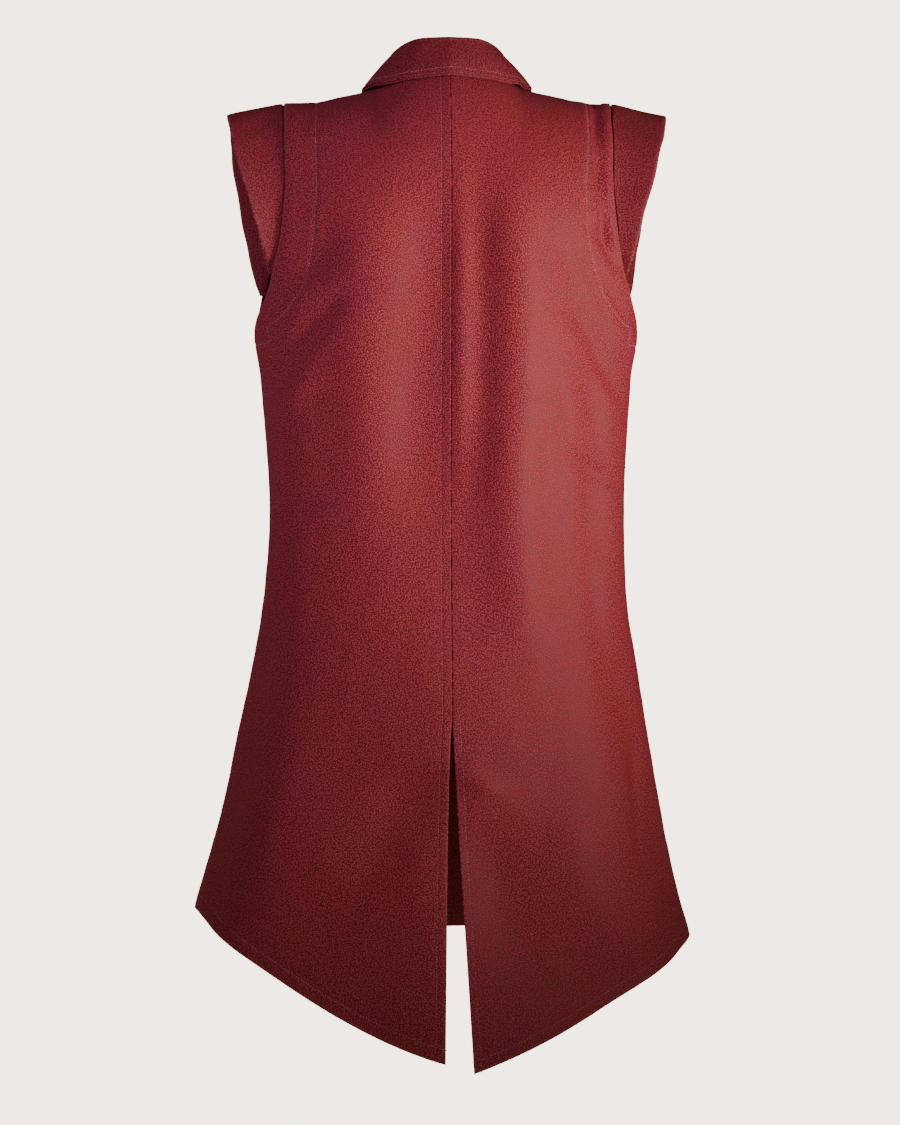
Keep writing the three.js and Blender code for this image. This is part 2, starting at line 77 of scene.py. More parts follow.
def set_camera():
    """The camera behind the garment, turned a little round its upright axis."""
    data = bpy.data.cameras.new("camera")
    data.lens = LENS
    data.sensor_fit = "VERTICAL"
    data.sensor_height = 36
    camera = add_object("camera", data)
    sine, cosine = math.sin(CAMERA_TURN), math.cos(CAMERA_TURN)
    x = CAMERA_DISTANCE * sine + CAMERA_ASIDE * cosine
    y = CAMERA_DISTANCE * cosine - CAMERA_ASIDE * sine
    camera.location = (x, y, CAMERA_HEIGHT)
    camera.rotation_euler = (math.pi / 2, 0, math.pi - CAMERA_TURN)
    bpy.context.scene.camera = camera


set_camera()


# %% [markdown]
# Materials are small networks of nodes. One function adds a node, sets its properties and fills its
# sockets, so that each network reads from top to bottom. Colours are written as the hex values that a
# screen shows, and one function turns them into the linear values that Blender works with.

# %% Node and colour helpers
def linear(hex_colour):
    """A screen colour such as "#7a2a31" as linear red, green, blue and alpha."""
    shown = [int(hex_colour[i:i + 2], 16) / 255 for i in (1, 3, 5)]
    return [c / 12.92 if c <= 0.04045 else ((c + 0.055) / 1.055) ** 2.4 for c in shown] + [1]


def add_node(tree, kind, inputs=None, **settings):
    """A node with its settings, and with each input either linked to a socket or set to a value."""
    made = tree.nodes.new(kind)
    for name, value in settings.items():
        setattr(made, name, value)
    for socket, value in (inputs or {}).items():
        if isinstance(value, bpy.types.NodeSocket):
            tree.links.new(value, made.inputs[socket])
        else:
            made.inputs[socket].default_value = value
    return made


def add_range(tree, value, low=0, high=1, to_low=0, to_high=1):
    """A value moved from one range to another, and kept inside it."""
    return add_node(tree, "ShaderNodeMapRange", {0: value, 1: low, 2: high, 3: to_low, 4: to_high}).outputs[0]


def add_product(tree, first, second):
    """The product of two sockets or values."""
    return add_node(tree, "ShaderNodeMath", {0: first, 1: second}, operation="MULTIPLY").outputs[0]


def add_mix(tree, share, first, second):
    """Two colours mixed by a share; each is a value or a socket."""
    return add_node(tree, "ShaderNodeMix", {0: share, 6: first, 7: second}, data_type="RGBA").outputs[2]


def empty_tree(owner):
    """The node tree of a material or a world, with nothing in it."""
    owner.use_nodes = True
    owner.node_tree.nodes.clear()
    return owner.node_tree


# %% Floor and light
ROOM_COLOUR = linear("#fff0df")
ROOM_LIGHT = 0.24  # what the room sends to the cloth
ROOM_SEEN = 4.7  # what the camera sees of it
FLOOR_Z = -1.5
FLOOR_RADIUS = 9
FLOOR_FADE = (0.4, 2.2)  # distances from the origin where the paint starts to fade, and is gone


def room_strength(tree):
    """The strength of the room's glow, which the camera sees brighter than the cloth does."""
    seen = add_node(tree, "ShaderNodeLightPath").outputs["Is Camera Ray"]
    return add_range(tree, seen, to_low=ROOM_LIGHT, to_high=ROOM_SEEN)


def set_floor():
    """A pale floor that melts into the room's own colour away from the garment."""
    material = bpy.data.materials.new("painted_studio_floor")
    tree = empty_tree(material)
    place = add_node(tree, "ShaderNodeTexCoord").outputs["Object"]
    away = add_node(tree, "ShaderNodeVectorMath", {0: place}, operation="LENGTH").outputs["Value"]
    paint = add_node(tree, "ShaderNodeBsdfDiffuse", {"Color": ROOM_COLOUR}).outputs[0]
    glow = add_node(tree, "ShaderNodeEmission", {"Color": ROOM_COLOUR, "Strength": room_strength(tree)})
    fade = add_range(tree, away, *FLOOR_FADE)
    mixed = add_node(tree, "ShaderNodeMixShader", {0: fade, 1: paint, 2: glow.outputs[0]})
    add_node(tree, "ShaderNodeOutputMaterial", {"Surface": mixed.outputs[0]})
    bpy.ops.mesh.primitive_circle_add(vertices=64, radius=FLOOR_RADIUS, fill_type="NGON")
    floor = bpy.context.object
    floor.name = "floor"
    floor.location.z = FLOOR_Z
    floor.data.materials.append(material)


def set_room():
    """Even light from all round, which leaves no gloss."""
    world = bpy.data.worlds.new("room")
    world.cycles_visibility.glossy = False
    bpy.context.scene.world = world
    tree = empty_tree(world)
    glow = add_node(tree, "ShaderNodeBackground", {"Color": ROOM_COLOUR, "Strength": room_strength(tree)})
    add_node(tree, "ShaderNodeOutputWorld", {"Surface": glow.outputs[0]})


def add_lamp(name, place, aim, size, spread, power, colour, gloss=True):
    """A square soft box that faces a point. A spread below 180 degrees is a grid in front of it."""
    data = bpy.data.lights.new(name, "AREA")
    data.size = size
    data.spread = math.radians(spread)
    data.energy = power
    data.color = linear(colour)[:3]
    lamp = add_object(name, data)
    lamp.location = place
    lamp.rotation_euler = (Vector(aim) - Vector(place)).to_track_quat("-Z", "Y").to_euler()
    lamp.visible_glossy = gloss


set_floor()
set_room()
add_lamp("key", (-1.14, 0.94, -0.4), (0.04, 0.15, -0.23), 0.3, 64, 4.0, "#fff4ea")
add_lamp("fill", (1.85, 1.9, 0.3), (0.13, 0.12, -0.17), 0.5, 36, 1.9, "#ccd8ff", gloss=False)
add_lamp("front", (1.2, -2.8, 0.5), (0.0, 0.0, -0.45), 1.4, 180, 45, "#fff8f0", gloss=False)


# %% [markdown]
# ## The form under the cloth
#
# The panels hang on a form that no one sees. Short tables give its half-widths and depths at a few heights,
# the line of the shoulders, and the edge of the armholes, and smooth curves join their rows. The same
# tables shape the CAD solids, so the fine shells made here lie on them. The shells could be cut from the
# CAD meshes instead, but a formula can be divided as finely as a crease or a stitch needs.

# %% Smooth curves through short tables
QUARTER = math.pi / 2


def columns(names, rows):
    """The columns of a table, by name."""
    return dict(zip(names.split(), np.array(rows, float).T))


def curve_through(x, y):
    """A smooth curve through points, which never overshoots them."""
    slope = np.diff(y) / np.diff(x)
    before, after = slope[:-1], slope[1:]
    steady = before * after > 0
    inner = np.where(steady, 2 * before * after / np.where(steady, before + after, 1), 0)
    tangent = np.concatenate(([slope[0]], inner, [slope[-1]]))

    def read(at):
        at = np.clip(at, x[0], x[-1])
        i = np.clip(np.searchsorted(x, at) - 1, 0, len(x) - 2)
        width = x[i + 1] - x[i]
        t = (at - x[i]) / width
        ease = t * t * (3 - 2 * t)
        start = t * (1 - t) ** 2 * width * tangent[i]
        end = t * t * (t - 1) * width * tangent[i + 1]
        return y[i] * (1 - ease) + y[i + 1] * ease + start + end

    return read


def smooth(at, low, high):
    """0 below the low end, 1 above the high one, and an even slope between."""
    t = np.clip((at - low) / (high - low), 0, 1)
    return t * t * (3 - 2 * t)


def plateau(at, start, full, falling, end):
    """1 in the middle, 0 outside the start and the end, and an even slope on each side."""
    return smooth(at, start, full) * (1 - smooth(at, falling, end))


def blend(a, b, t):
    return a + (b - a) * t


def bell(off, width):
    """1 in the middle of a trough or ridge, and next to nothing two widths away from it."""
    return np.exp(-((off / width) ** 2))


def unit(vectors):
    return vectors / np.linalg.norm(vectors, axis=-1, keepdims=True)


def steps_along(points, axis):
    """Running length along the rows (axis 1) or columns (axis 0) of a grid, or along a line (axis 0)."""
    step = np.linalg.norm(np.diff(points, axis=axis), axis=-1)
    return np.insert(np.cumsum(step, axis=axis), 0, 0, axis=axis)


def steps_back(points, axis):
    """The same length, counted back from the far end."""
    return np.flip(steps_along(np.flip(points, axis), axis), axis)


# %% Sizes of the form
SEAM_GAP = 0.3
UNDERARM_Z = -254
HEM_SIDE_Z = -878
VENT_TOP_Z = -661
NECK_HALF = 78
SHOULDER_TILT = 2  # how far the left shoulder drops, and the right one rises
HEM_TILT = 16  # how far the hem rises at the left side, and drops at the right one
TILT_FROM_Z = -560  # where the skirt begins to tilt
LAP = 20  # how far each front reaches past the centre
LAP_RISE = 2.3  # how far apart the two fronts lie where they lap
LAP_EASE = (0.2, 2.2)  # widths of the lap beyond its edge where that fades, and ends
HEM_TIP_Z = {"left": -1004, "right": -1017}
HEM_FRONT_Z = {"left": -903, "right": -903}
HEM_BOW = {"left": 1.3, "right": 1.12}  # power of the hem's curve from tip to side
VENT_OPEN = {"left": 9, "right": 19}  # the vent's edge from the centre line, at the hem
VENT_POWER = {"left": 0.55, "right": 1.05}
VENT_EASE = 4  # length over which the centre seam gives way to the vent
FACES = {
    "back": {"sign": 1, "turn": -150, "square": 0.8, "hem": HEM_TIP_Z, "underarm_row": -240, "neck": 66},
    "front": {"sign": -1, "turn": -170, "square": 0.85, "hem": HEM_FRONT_Z, "underarm_row": -254, "neck": 73},
}
SECTIONS = columns("z left right back front", [
    (-1010, 297, 287, 176, 170),
    (-865, 262, 253, 158, 152),
    (-815, 249, 240, 151, 146),
    (-720, 227, 219, 138, 135),
    (-625, 207, 202, 124, 124),
    (-525, 192, 189, 108, 116),
    (-430, 188, 187, 99, 113),
    (-305, 196, 192, 110, 124),
    (-254, 203, 200, 114.5, 127),
    (-220, 201, 200, 117, 125),
    (-170, 197, 197, 118, 122),
    (-150, 197, 197, 118, 120),
])
SHOULDER_LINE = columns("x back front", [
    (0, 50, -54),
    (40, 32, -34),
    (60, 17, -17),
    (78, 2, 2),
    (91, -2.6, -2.6),
    (107, -6.1, -6.1),
    (140, -12.8, -12.8),
    (173, -14.8, -14.8),
    (200, -16, -16),
])
ARMHOLE = columns("z back front", [
    (-254, 1, 1),
    (-248, 0.995, 0.997),
    (-238, 0.98, 0.986),
    (-218, 0.943, 0.972),
    (-190, 0.912, 0.958),
    (-150, 0.872, 0.92),
    (-100, 0.85, 0.89),
    (-50, 0.86, 0.875),
    (-14, 0.875, 0.875),
])
half_at = {side: curve_through(SECTIONS["z"], SECTIONS[side]) for side in SIDES}
depth_at = {face: curve_through(SECTIONS["z"], SECTIONS[face]) for face in FACES}
shoulder_at = {face: curve_through(SHOULDER_LINE["x"], SHOULDER_LINE[face]) for face in FACES}
armhole_at = {face: curve_through(ARMHOLE["z"], ARMHOLE[face]) for face in FACES}
print("chest, half round:", half_at["left"](UNDERARM_Z), "mm")


# %% [markdown]
# The largest folds belong to the form itself, because the CAD solids have them too: the hollow of the
# spine, the pull from blade to underarm on each side, and the flutes of the skirt. Each is a soft trough
# along a straight line, from one place to another. Places round the body are shares of the way from the
# centre line to a side seam, positive on the wearer's left.

# %% The largest folds, and the form's surface
FOLD_REACH = 200  # millimetres that one share round the body stands for
FOLD_ENDS = (-0.15, 0.3, 0.75, 1.15)  # shares of its length where a fold starts, is full, fades and ends
FOLDS = {
    "back": [  # from, from z, to, to z, depth, width
        (0, -20, 0, -540, -7, 34),
        (0.42, -150, 0.86, -345, -5, 20),
        (-0.4, -170, -0.84, -340, -6, 20),
        (-0.3, -700, -0.42, -990, -6, 34),
        (-0.72, -560, -0.8, -900, -8, 26),
        (0.34, -640, 0.4, -980, -6, 36),
        (0.78, -600, 0.82, -880, -6, 28),
    ],
    "front": [
        (0.5, -160, 0.84, -330, -5, 20),
        (-0.46, -170, -0.82, -335, -5, 20),
        (0.42, -560, 0.5, -900, -8, 34),
        (-0.38, -600, -0.46, -910, -7, 34),
        (-0.74, -580, -0.8, -890, -6, 26),
        (0.8, -620, 0.84, -880, -5, 26),
    ],
}


def over_face(around):
    """1 over a face, and 0 at the side seams, where two faces have to meet."""
    return 1 - smooth(np.abs(around), 0.9, 1)


def fold_at(face, around, z):
    """How far the largest folds move the cloth out at a place round the body and a height."""
    moved = np.zeros(np.broadcast(around, z).shape)
    for start, start_z, end, end_z, depth, width in FOLDS[face]:
        run, fall = (end - start) * FOLD_REACH, end_z - start_z
        off_x, off_z = (around - start) * FOLD_REACH, z - start_z
        length = math.hypot(run, fall)
        along = (off_x * run + off_z * fall) / length ** 2
        across = (off_x * fall - off_z * run) / length
        moved += depth * plateau(along, *FOLD_ENDS) * bell(across, width)
    return moved * over_face(around)


def form_point(face, angle, level):
    """A point of the form.

    The angle runs from the centre line, positive to the left, to a quarter at a side seam. A level below 0 is
    millimetres below the face's turn, and one above it is the share of the way over the shoulder.
    """
    shape = FACES[face]
    ring_z = shape["turn"] + np.minimum(level, 0)
    rise = np.maximum(level, 0) * QUARTER
    half = np.where(angle >= 0, half_at["left"](ring_z), half_at["right"](ring_z))
    depth = depth_at[face](ring_z) * np.maximum(np.cos(angle), 0) ** shape["square"]
    x = half * np.sin(angle)
    shoulder = shoulder_at[face](np.abs(x)) - SHOULDER_TILT * x / half_at["left"](shape["turn"])
    z = ring_z + (shoulder - shape["turn"]) * np.sin(rise)
    fold = fold_at(face, angle / QUARTER, z) * np.cos(rise)
    tilt = HEM_TILT * x / half_at["left"](HEM_SIDE_Z) * (1 - smooth(z, HEM_SIDE_Z, TILT_FROM_Z))
    y = shape["sign"] * (SEAM_GAP / 2 + depth * np.cos(rise) + fold * np.cos(angle))
    return np.stack((x + fold * np.sin(angle), y, z + tilt), axis=-1)


def top_level(face, angle):
    """The level of a panel's top edge: the neckline near the centre, the shoulder seam beyond it."""
    shape = FACES[face]
    x = np.abs(half_at["left"](shape["turn"]) * np.sin(angle))
    depth = depth_at[face](shape["turn"]) * np.cos(angle) ** shape["square"]
    reach = shape["neck"] * np.sqrt(np.clip(1 - (x / NECK_HALF) ** 2, 0, None))
    return np.where(x > NECK_HALF - 0.01, 1, np.arccos(np.clip(reach / depth, 0, 1)) / QUARTER)


# %% [markdown]
# ## A panel's grid
#
# Each panel is a grid of points: rows from hem to shoulder, columns from its centre edge to its outer edge.
# Rows and columns crowd together where a stitched line or a turned edge needs fine steps, and are wider
# apart in the plain cloth between. Near both edges the columns stand at fixed distances from the edge,
# because a tailor's stitching keeps its distance too.

# %% Rows of a panel
ROW = 4.5  # usual distance between rows
SHOULDER_ROWS = 45
SIDE_SHARE = 0.36  # how far up the side seam the row at the vent's top meets it
HEM_STEPS = [0, 2, 4.5, 7.5, 10, 12, 13, 14.5, 16, 18.5, 22]
EDGE_STEPS = [0, 2, 4, 6, 7.5, 9, 10, 11, 13, 16.5, 21]
ARM_STEPS = [0, 2.2, *range(5, 25, 3), *range(25, 52, 2)]
MIDDLE_COLUMNS = 84
ROW_SAMPLES = 500


def angle_of(x):
    return math.asin(x / float(half_at["left"](FACES["back"]["turn"])))


def armhole_angle(face, share):
    """The angle of the armhole's edge on a row some share of the way over the shoulder."""
    turn = FACES[face]["turn"]
    edge = np.arcsin(armhole_at[face](turn)) * np.ones_like(share)
    for _ in range(4):
        x = half_at["left"](turn) * np.sin(edge)
        z = turn + (shoulder_at[face](x) - turn) * np.sin(share * QUARTER)
        edge = np.arcsin(armhole_at[face](z))
    return edge


def panel_rows(face, side):
    """Each row from hem to top: its height at the centre line and at the outer edge, and that edge's angle.

    A fourth value is the row's share of the way over the shoulder.
    """
    shape = FACES[face]
    hem = shape["hem"][side]
    steps = np.array(HEM_STEPS)
    centre, edge = [hem + steps], [HEM_SIDE_Z + steps]

    def stretch(centre_to, edge_to, height):
        count = round(height / ROW)
        t = np.arange(1, count + 1) / count
        centre.append(blend(centre[-1][-1], centre_to, t))
        edge.append(blend(edge[-1][-1], edge_to, t))

    stretch(VENT_TOP_Z, blend(HEM_SIDE_Z, UNDERARM_Z, SIDE_SHARE), VENT_TOP_Z - hem)
    stretch(shape["underarm_row"], UNDERARM_Z, shape["underarm_row"] - VENT_TOP_Z)
    skirt = sum(len(part) for part in edge)
    stretch(shape["turn"], shape["turn"], shape["turn"] - UNDERARM_Z)
    centre, edge = np.concatenate(centre), np.concatenate(edge)
    angle = np.arcsin(np.clip(armhole_at[face](edge), 0, 1))
    angle[:skirt] = QUARTER
    share = np.zeros_like(centre)
    over = np.linspace(0, 1, SHOULDER_ROWS + 1)[1:]
    turn = np.full_like(over, shape["turn"])
    below_and_over = ((centre, turn), (edge, turn), (angle, armhole_angle(face, over)), (share, over))
    return [np.concatenate(parts) for parts in below_and_over]


def centre_angle(face, side, ring_z):
    """The angle of a panel's centre edge: the centre seam and vent behind, the lapped edge ahead."""
    half = half_at[side](ring_z)
    if face == "front":
        return -np.arcsin(LAP / half)
    down = np.clip((VENT_TOP_Z - ring_z) / (VENT_TOP_Z - HEM_TIP_Z[side]), 0, 1)
    return np.arcsin((SEAM_GAP / 2 + VENT_OPEN[side] * down ** VENT_POWER[side]) / half)


# %% Points, normals and edge distances of a panel
NECK_ANGLE = angle_of(NECK_HALF)


def grid_normals(points):
    """The unit normal at each point of a grid."""
    tangents = []
    for axis in (0, 1):
        step = np.diff(points, axis=axis)
        step /= np.maximum(np.linalg.norm(step, axis=-1, keepdims=True), 1e-9)
        before, after = np.take(step, [0], axis), np.take(step, [-1], axis)
        tangents.append(np.concatenate((before, step), axis) + np.concatenate((step, after), axis))
    return unit(np.cross(*tangents))


def panel_grid(face, side):
    """A panel's points and outward normals, and each point's distances from the panel's edges."""
    sign = SIDES[side]
    centre, edge, outer, share = (column[:, None] for column in panel_rows(face, side))
    first = centre_angle(face, side, centre)
    bow = HEM_BOW[side]

    def place(angle):
        out = np.minimum(np.abs(np.sin(angle)) / np.sin(outer), 1)
        skirt = blend(centre, edge, out ** bow) - FACES[face]["turn"]
        level = np.where(share > 0, share * top_level(face, angle), skirt)
        return form_point(face, sign * angle, level)

    spread = blend(first, outer, np.linspace(0, 1, ROW_SAMPLES)[None, :])
    length = steps_along(place(spread), 1)
    near = np.array([np.interp(EDGE_STEPS, run, at) for run, at in zip(length, spread)])
    from_arm = np.array(ARM_STEPS[::-1])
    far = np.array([np.interp(run[-1] - from_arm, run, at) for run, at in zip(length, spread)])
    low, high = near[:, -1:], far[:, :1]
    corner = (NECK_ANGLE - low[-1, 0]) / (high[-1, 0] - low[-1, 0])
    before = round(MIDDLE_COLUMNS * corner)
    middle = np.concatenate((
        np.linspace(0, corner, before + 1)[1:],
        np.linspace(corner, 1, MIDDLE_COLUMNS - before + 1)[1:-1],
    ))
    angle = np.hstack((near, blend(low, high, middle[None, :]), far))
    points = place(angle)
    normals = grid_normals(points) * sign * FACES[face]["sign"]
    seam = outer[:, 0] > QUARTER - 1e-6
    normals[seam, -1, 1] = 0
    if face == "back":
        normals[:, 0, 0] = 0
    normals = unit(normals)
    along = steps_along(points, 1)
    return {
        "face": face,
        "side": side,
        "points": points,
        "normals": normals,
        "angle": angle,
        "share": share,
        "from_centre": along,
        "from_edge": along[:, -1:] - along,
        "above_hem": steps_along(points, 0),
    }


panels = {(face, side): panel_grid(face, side) for face in FACES for side in SIDES}
for (face, side), grid in panels.items():
    print(face, side, "grid:", grid["points"].shape[:2])


# %% [markdown]
# ## Relief
#
# Heavy cotton doesn't wrinkle finely. It bends in a few soft troughs and ridges, deepest where it is
# pulled: from the blades to the underarms, at the waist and at the top of the vent. These creases are
# listed one row each, as a bent line from one place to another. Between them the cloth is never
# quite flat, so a field of broad, weak waves is added. Cloth simulation would find folds of its own, but
# not these ones in these places.

# %% Creases
CREASES = {
    "back": [  # around and z at the start, the middle and the end; height (negative is a trough) and width
        (0.04, -80, 0.10, -260, 0.16, -520, -10, 23),
        (0.28, -60, 0.30, -270, 0.33, -560, 6, 26),
        (-0.21, -30, -0.245, -250, -0.24, -460, 11, 21),
        (-0.20, -330, -0.21, -440, -0.29, -660, 12, 22),
        (-0.52, -190, -0.60, -400, -0.64, -780, -5.5, 20),
        (-0.025, -60, -0.04, -210, -0.03, -470, 4, 8),
        (-0.10, -80, -0.12, -250, -0.11, -480, -4, 11),
        (0.82, -326, 0.57, -288, 0.28, -196, -6.5, 12),
        (0.84, -290, 0.62, -246, 0.42, -186, 2.6, 11),
        (0.90, -284, 0.76, -262, 0.58, -236, -3, 8),
        (0.80, -345, 0.62, -322, 0.42, -300, 3, 13),
        (0.34, -430, 0.24, -462, 0.12, -492, -1, 9),
        (0.78, -430, 0.60, -448, 0.46, -440, -2, 9),
        (0.06, -690, 0.19, -760, 0.24, -870, -9, 20),
        (0.52, -640, 0.50, -760, 0.56, -880, 5, 30),
        (0.04, -740, 0.02, -1000, 0.00, -1260, 12, 34),
        (0.74, -850, 0.42, -900, 0.10, -950, 5, 40),
        (-0.36, -216, -0.54, -262, -0.84, -342, -7, 13),
        (-0.32, -262, -0.46, -318, -0.56, -420, 3.4, 16),
        (-0.50, -142, -0.62, -172, -0.80, -212, -3.8, 8),
        (-0.54, -196, -0.68, -232, -0.88, -264, -3.2, 8),
        (-0.44, -176, -0.58, -214, -0.72, -262, 2.6, 8),
        (-0.40, -378, -0.62, -414, -0.92, -424, -3.6, 8),
        (-0.46, -350, -0.64, -384, -0.86, -396, 2, 9),
        (-0.56, -470, -0.66, -520, -0.70, -600, 2.2, 14),
        (-0.005, -696, -0.06, -718, -0.16, -748, 5, 10),
        (-0.07, -740, -0.11, -810, -0.19, -960, -10, 20),
        (-0.34, -720, -0.38, -810, -0.42, -930, 10, 22),
        (-0.84, -650, -0.72, -740, -0.58, -850, -5, 12),
    ],
    "front": [
        (0.86, -322, 0.64, -292, 0.44, -228, -4.6, 10),
        (0.90, -290, 0.78, -266, 0.62, -238, -2.8, 8),
        (0.78, -350, 0.60, -330, 0.40, -296, 2.8, 13),
        (0.28, -110, 0.36, -200, 0.38, -340, 7, 24),
        (0.20, -300, 0.19, -420, 0.24, -560, -7, 22),
        (0.86, -418, 0.66, -428, 0.48, -446, -2.6, 8),
        (0.30, -560, 0.26, -700, 0.32, -880, 7, 26),
        (0.72, -620, 0.64, -740, 0.60, -880, 5, 22),
        (-0.88, -300, -0.66, -262, -0.40, -214, -5.4, 12),
        (-0.84, -252, -0.70, -226, -0.56, -190, -3, 8),
        (-0.74, -340, -0.56, -314, -0.38, -262, 3, 13),
        (-0.26, -120, -0.32, -220, -0.30, -360, 7, 24),
        (-0.13, -340, -0.17, -460, -0.26, -590, -7, 22),
        (-0.90, -436, -0.70, -416, -0.46, -424, -3, 8),
        (-0.24, -600, -0.26, -740, -0.20, -890, 7, 26),
        (-0.60, -640, -0.56, -760, -0.62, -880, 6, 22),
    ],
}
CREASE_PIECES = 10  # straight pieces that stand for a bent line
CREASE_ENDS = (0, 0.35, 0.6, 1)


def crease_height(face, around, z):
    """The height of all creases at places on a face."""
    total = np.zeros_like(z)
    across = around * FOLD_REACH
    for a0, z0, a1, z1, a2, z2, height, width in CREASES[face]:
        t = np.linspace(0, 1, CREASE_PIECES + 1)[:, None]
        corners = np.array([(a0 * FOLD_REACH, z0), (a1 * FOLD_REACH, z1), (a2 * FOLD_REACH, z2)])
        line = (1 - t) ** 2 * corners[0] + 2 * t * (1 - t) * corners[1] + t ** 2 * corners[2]
        nearest = np.full(z.shape, np.inf)
        share = np.zeros_like(z)
        for i, (start, end) in enumerate(zip(line[:-1], line[1:])):
            run = end - start
            part = ((across - start[0]) * run[0] + (z - start[1]) * run[1]) / (run @ run)
            part = np.clip(part, 0, 1)
            gap = np.hypot(across - start[0] - part * run[0], z - start[1] - part * run[1])
            share = np.where(gap < nearest, (i + part) / CREASE_PIECES, share)
            nearest = np.minimum(gap, nearest)
        total += height * plateau(share, *CREASE_ENDS) * bell(nearest, width)
    return total


# %% Unevenness of the cloth
rng = np.random.default_rng(1889)


def random_waves(count, shortest, longest, height, upright):
    """Waves of random length and heading, drawn out along z by the upright factor."""
    length = rng.uniform(shortest, longest, count)
    heading = unit(rng.normal(size=(count, 3)))
    heading[:, 2] /= upright
    size = length / length.mean() * height * math.sqrt(2 / count)
    return heading * (2 * math.pi / length)[:, None], rng.uniform(0, 2 * math.pi, count), size


def wave_height(waves, points):
    heading, phase, size = waves
    return np.sin(points @ heading.T + phase) @ size


BROAD_WAVES = random_waves(40, 45, 150, 0.75, 2.2)
FINE_WAVES = random_waves(40, 14, 34, 0.12, 1.3)


# %% [markdown]
# Stitching pulls the cloth down in a narrow groove and puckers it on both sides. Each stitched line is a
# list of places on the panel's grid, so the same list shapes the groove here and carries the thread later.
# Seam allowances and facings lie under the cloth, and lift it a little between the stitches and the edge.

# %% Stitched lines of the panels
HEM_STITCH = {("back", "left"): 14.5, ("back", "right"): 12, ("front", "left"): 13, ("front", "right"): 13}
CENTRE_STITCH = {("back", "left"): 10, ("back", "right"): 7.5, ("front", "left"): 10, ("front", "right"): 10}
FACING_STITCH = {
    "left": columns("z edge", [
        (-275, 50), (-240, 48), (-203, 45), (-163, 39), (-126, 37), (-99, 34.5), (-10, 34),
    ]),
    "right": columns("z edge", [
        (-275, 47), (-225, 43), (-194, 42), (-150, 38), (-107, 33), (-73, 28), (-10, 27),
    ]),
}
FACING_END_Z = -271
THREAD_STEP = 0.7  # distance between the places that carry a stitched line


def read_grid(values, rows, cols):
    """Values of a grid at places between its points."""
    r = np.clip(np.floor(rows).astype(int), 0, values.shape[0] - 2)
    c = np.clip(np.floor(cols).astype(int), 0, values.shape[1] - 2)
    fr, fc = (rows - r)[:, None], (cols - c)[:, None]
    low = blend(values[r, c], values[r, c + 1], fc)
    high = blend(values[r + 1, c], values[r + 1, c + 1], fc)
    return blend(low, high, fr)


def column_where(reach, distance):
    """The place on each row where a running distance has one value, which may differ from row to row."""
    distances = np.broadcast_to(distance, len(reach))
    return np.array([np.interp(d, row, np.arange(len(row))) for row, d in zip(reach, distances)])


def column_before(reach, distance):
    """The same for a distance that is counted back from the outer edge."""
    return reach.shape[1] - 1 - column_where(reach[:, ::-1], distance)


def stitched_lines(grid):
    """The stitched lines of a panel: for each, the rows and columns that it passes."""
    face, side, points = grid["face"], grid["side"], grid["points"]
    row_count, column_count = points.shape[:2]
    all_rows = np.arange(row_count, dtype=float)
    lines = {}
    keep = np.ones(row_count, bool)
    if (face, side) == ("back", "right"):
        keep = points[:, 0, 2] < VENT_TOP_Z + VENT_EASE
    lines["centre"] = (all_rows[keep], column_where(grid["from_centre"], CENTRE_STITCH[face, side])[keep])
    hem_row = np.interp(HEM_STITCH[face, side], HEM_STEPS, np.arange(len(HEM_STEPS)))
    lines["hem"] = (np.full(column_count, hem_row), np.arange(column_count, dtype=float))
    edge_z = points[:, -1, 2]
    distance = np.interp(edge_z, FACING_STITCH[side]["z"], FACING_STITCH[side]["edge"])
    across = column_before(grid["from_edge"], distance)
    keep = edge_z > FACING_END_Z
    first = all_rows[keep][0]
    foot = np.arange(column_count - 1, across[keep][0], -1.0)
    rows = np.concatenate((np.full(len(foot), first), all_rows[keep]))
    lines["facing"] = (rows, np.concatenate((foot, across[keep])))
    return lines


def even_line(points, step):
    """Points at even steps along a line."""
    run = steps_along(points, 0)
    at = np.linspace(0, run[-1], max(round(run[-1] / step), 1) + 1)
    return np.stack([np.interp(at, run, points[:, i]) for i in range(3)], axis=1)


# %% Relief of a panel
GROOVE = {"centre": (0.3, 1.2), "hem": (0.35, 1.2), "facing": (0.9, 1.9)}  # depth and width
LINE_WEAR = {"left": 0.5, "right": 0.9}  # the facing lies thick under its stitches, and the cloth rubs there
PUCKER_HEIGHT = {"centre": 0.30, "hem": 0.28, "facing": 0.42}
PUCKER_WIDTH = 7
PUCKER_LENGTHS = (9, 13.7, 22)
EDGE_LIFT = 0.3  # what the turned cloth under an edge lifts it by
HEM_TURNED = (11, 15)  # distances from the hem where that lift fades and ends
SEAM_LIFT = {"left": 0.5, "right": -0.2}  # the left back is stitched down over the right one
SEAM_TURNED = (8, 11)  # where that fades and ends from the centre edge
SEAM_SUNK = (0, 4)  # the same where the edge is lowered
ARM_LIFT, ARM_LIFT_WIDTH = 4.0, 18  # where the wing's thickness lies under the armhole's edge
ARM_LIFT_Z = (-250, -170)  # heights where it starts and is full
ARM_LIFT_LOSS, ARM_LIFT_LOSS_Z = 0.75, (-70, -25)  # what it loses towards the shoulder
BAND_FOLDS = [(-5.5, 16.5, 6), (1.2, 7, 4)]  # beside the right armhole: height, distance from its edge, width
BAND_Z = (-210, -160)  # heights where these folds start and are full
BAND_MEAN, BAND_SWELL, BAND_SWELL_Z = 0.85, 0.25, 9  # they swell and shrink in a slow wave
WORN_EDGE = 1.5  # width of the paler line along an edge
COLLAR_EDGE = columns("turn radius", [
    (0, 77), (30, 81), (60, 84), (90, 88), (120, 101), (150, 116), (180, 118),
])
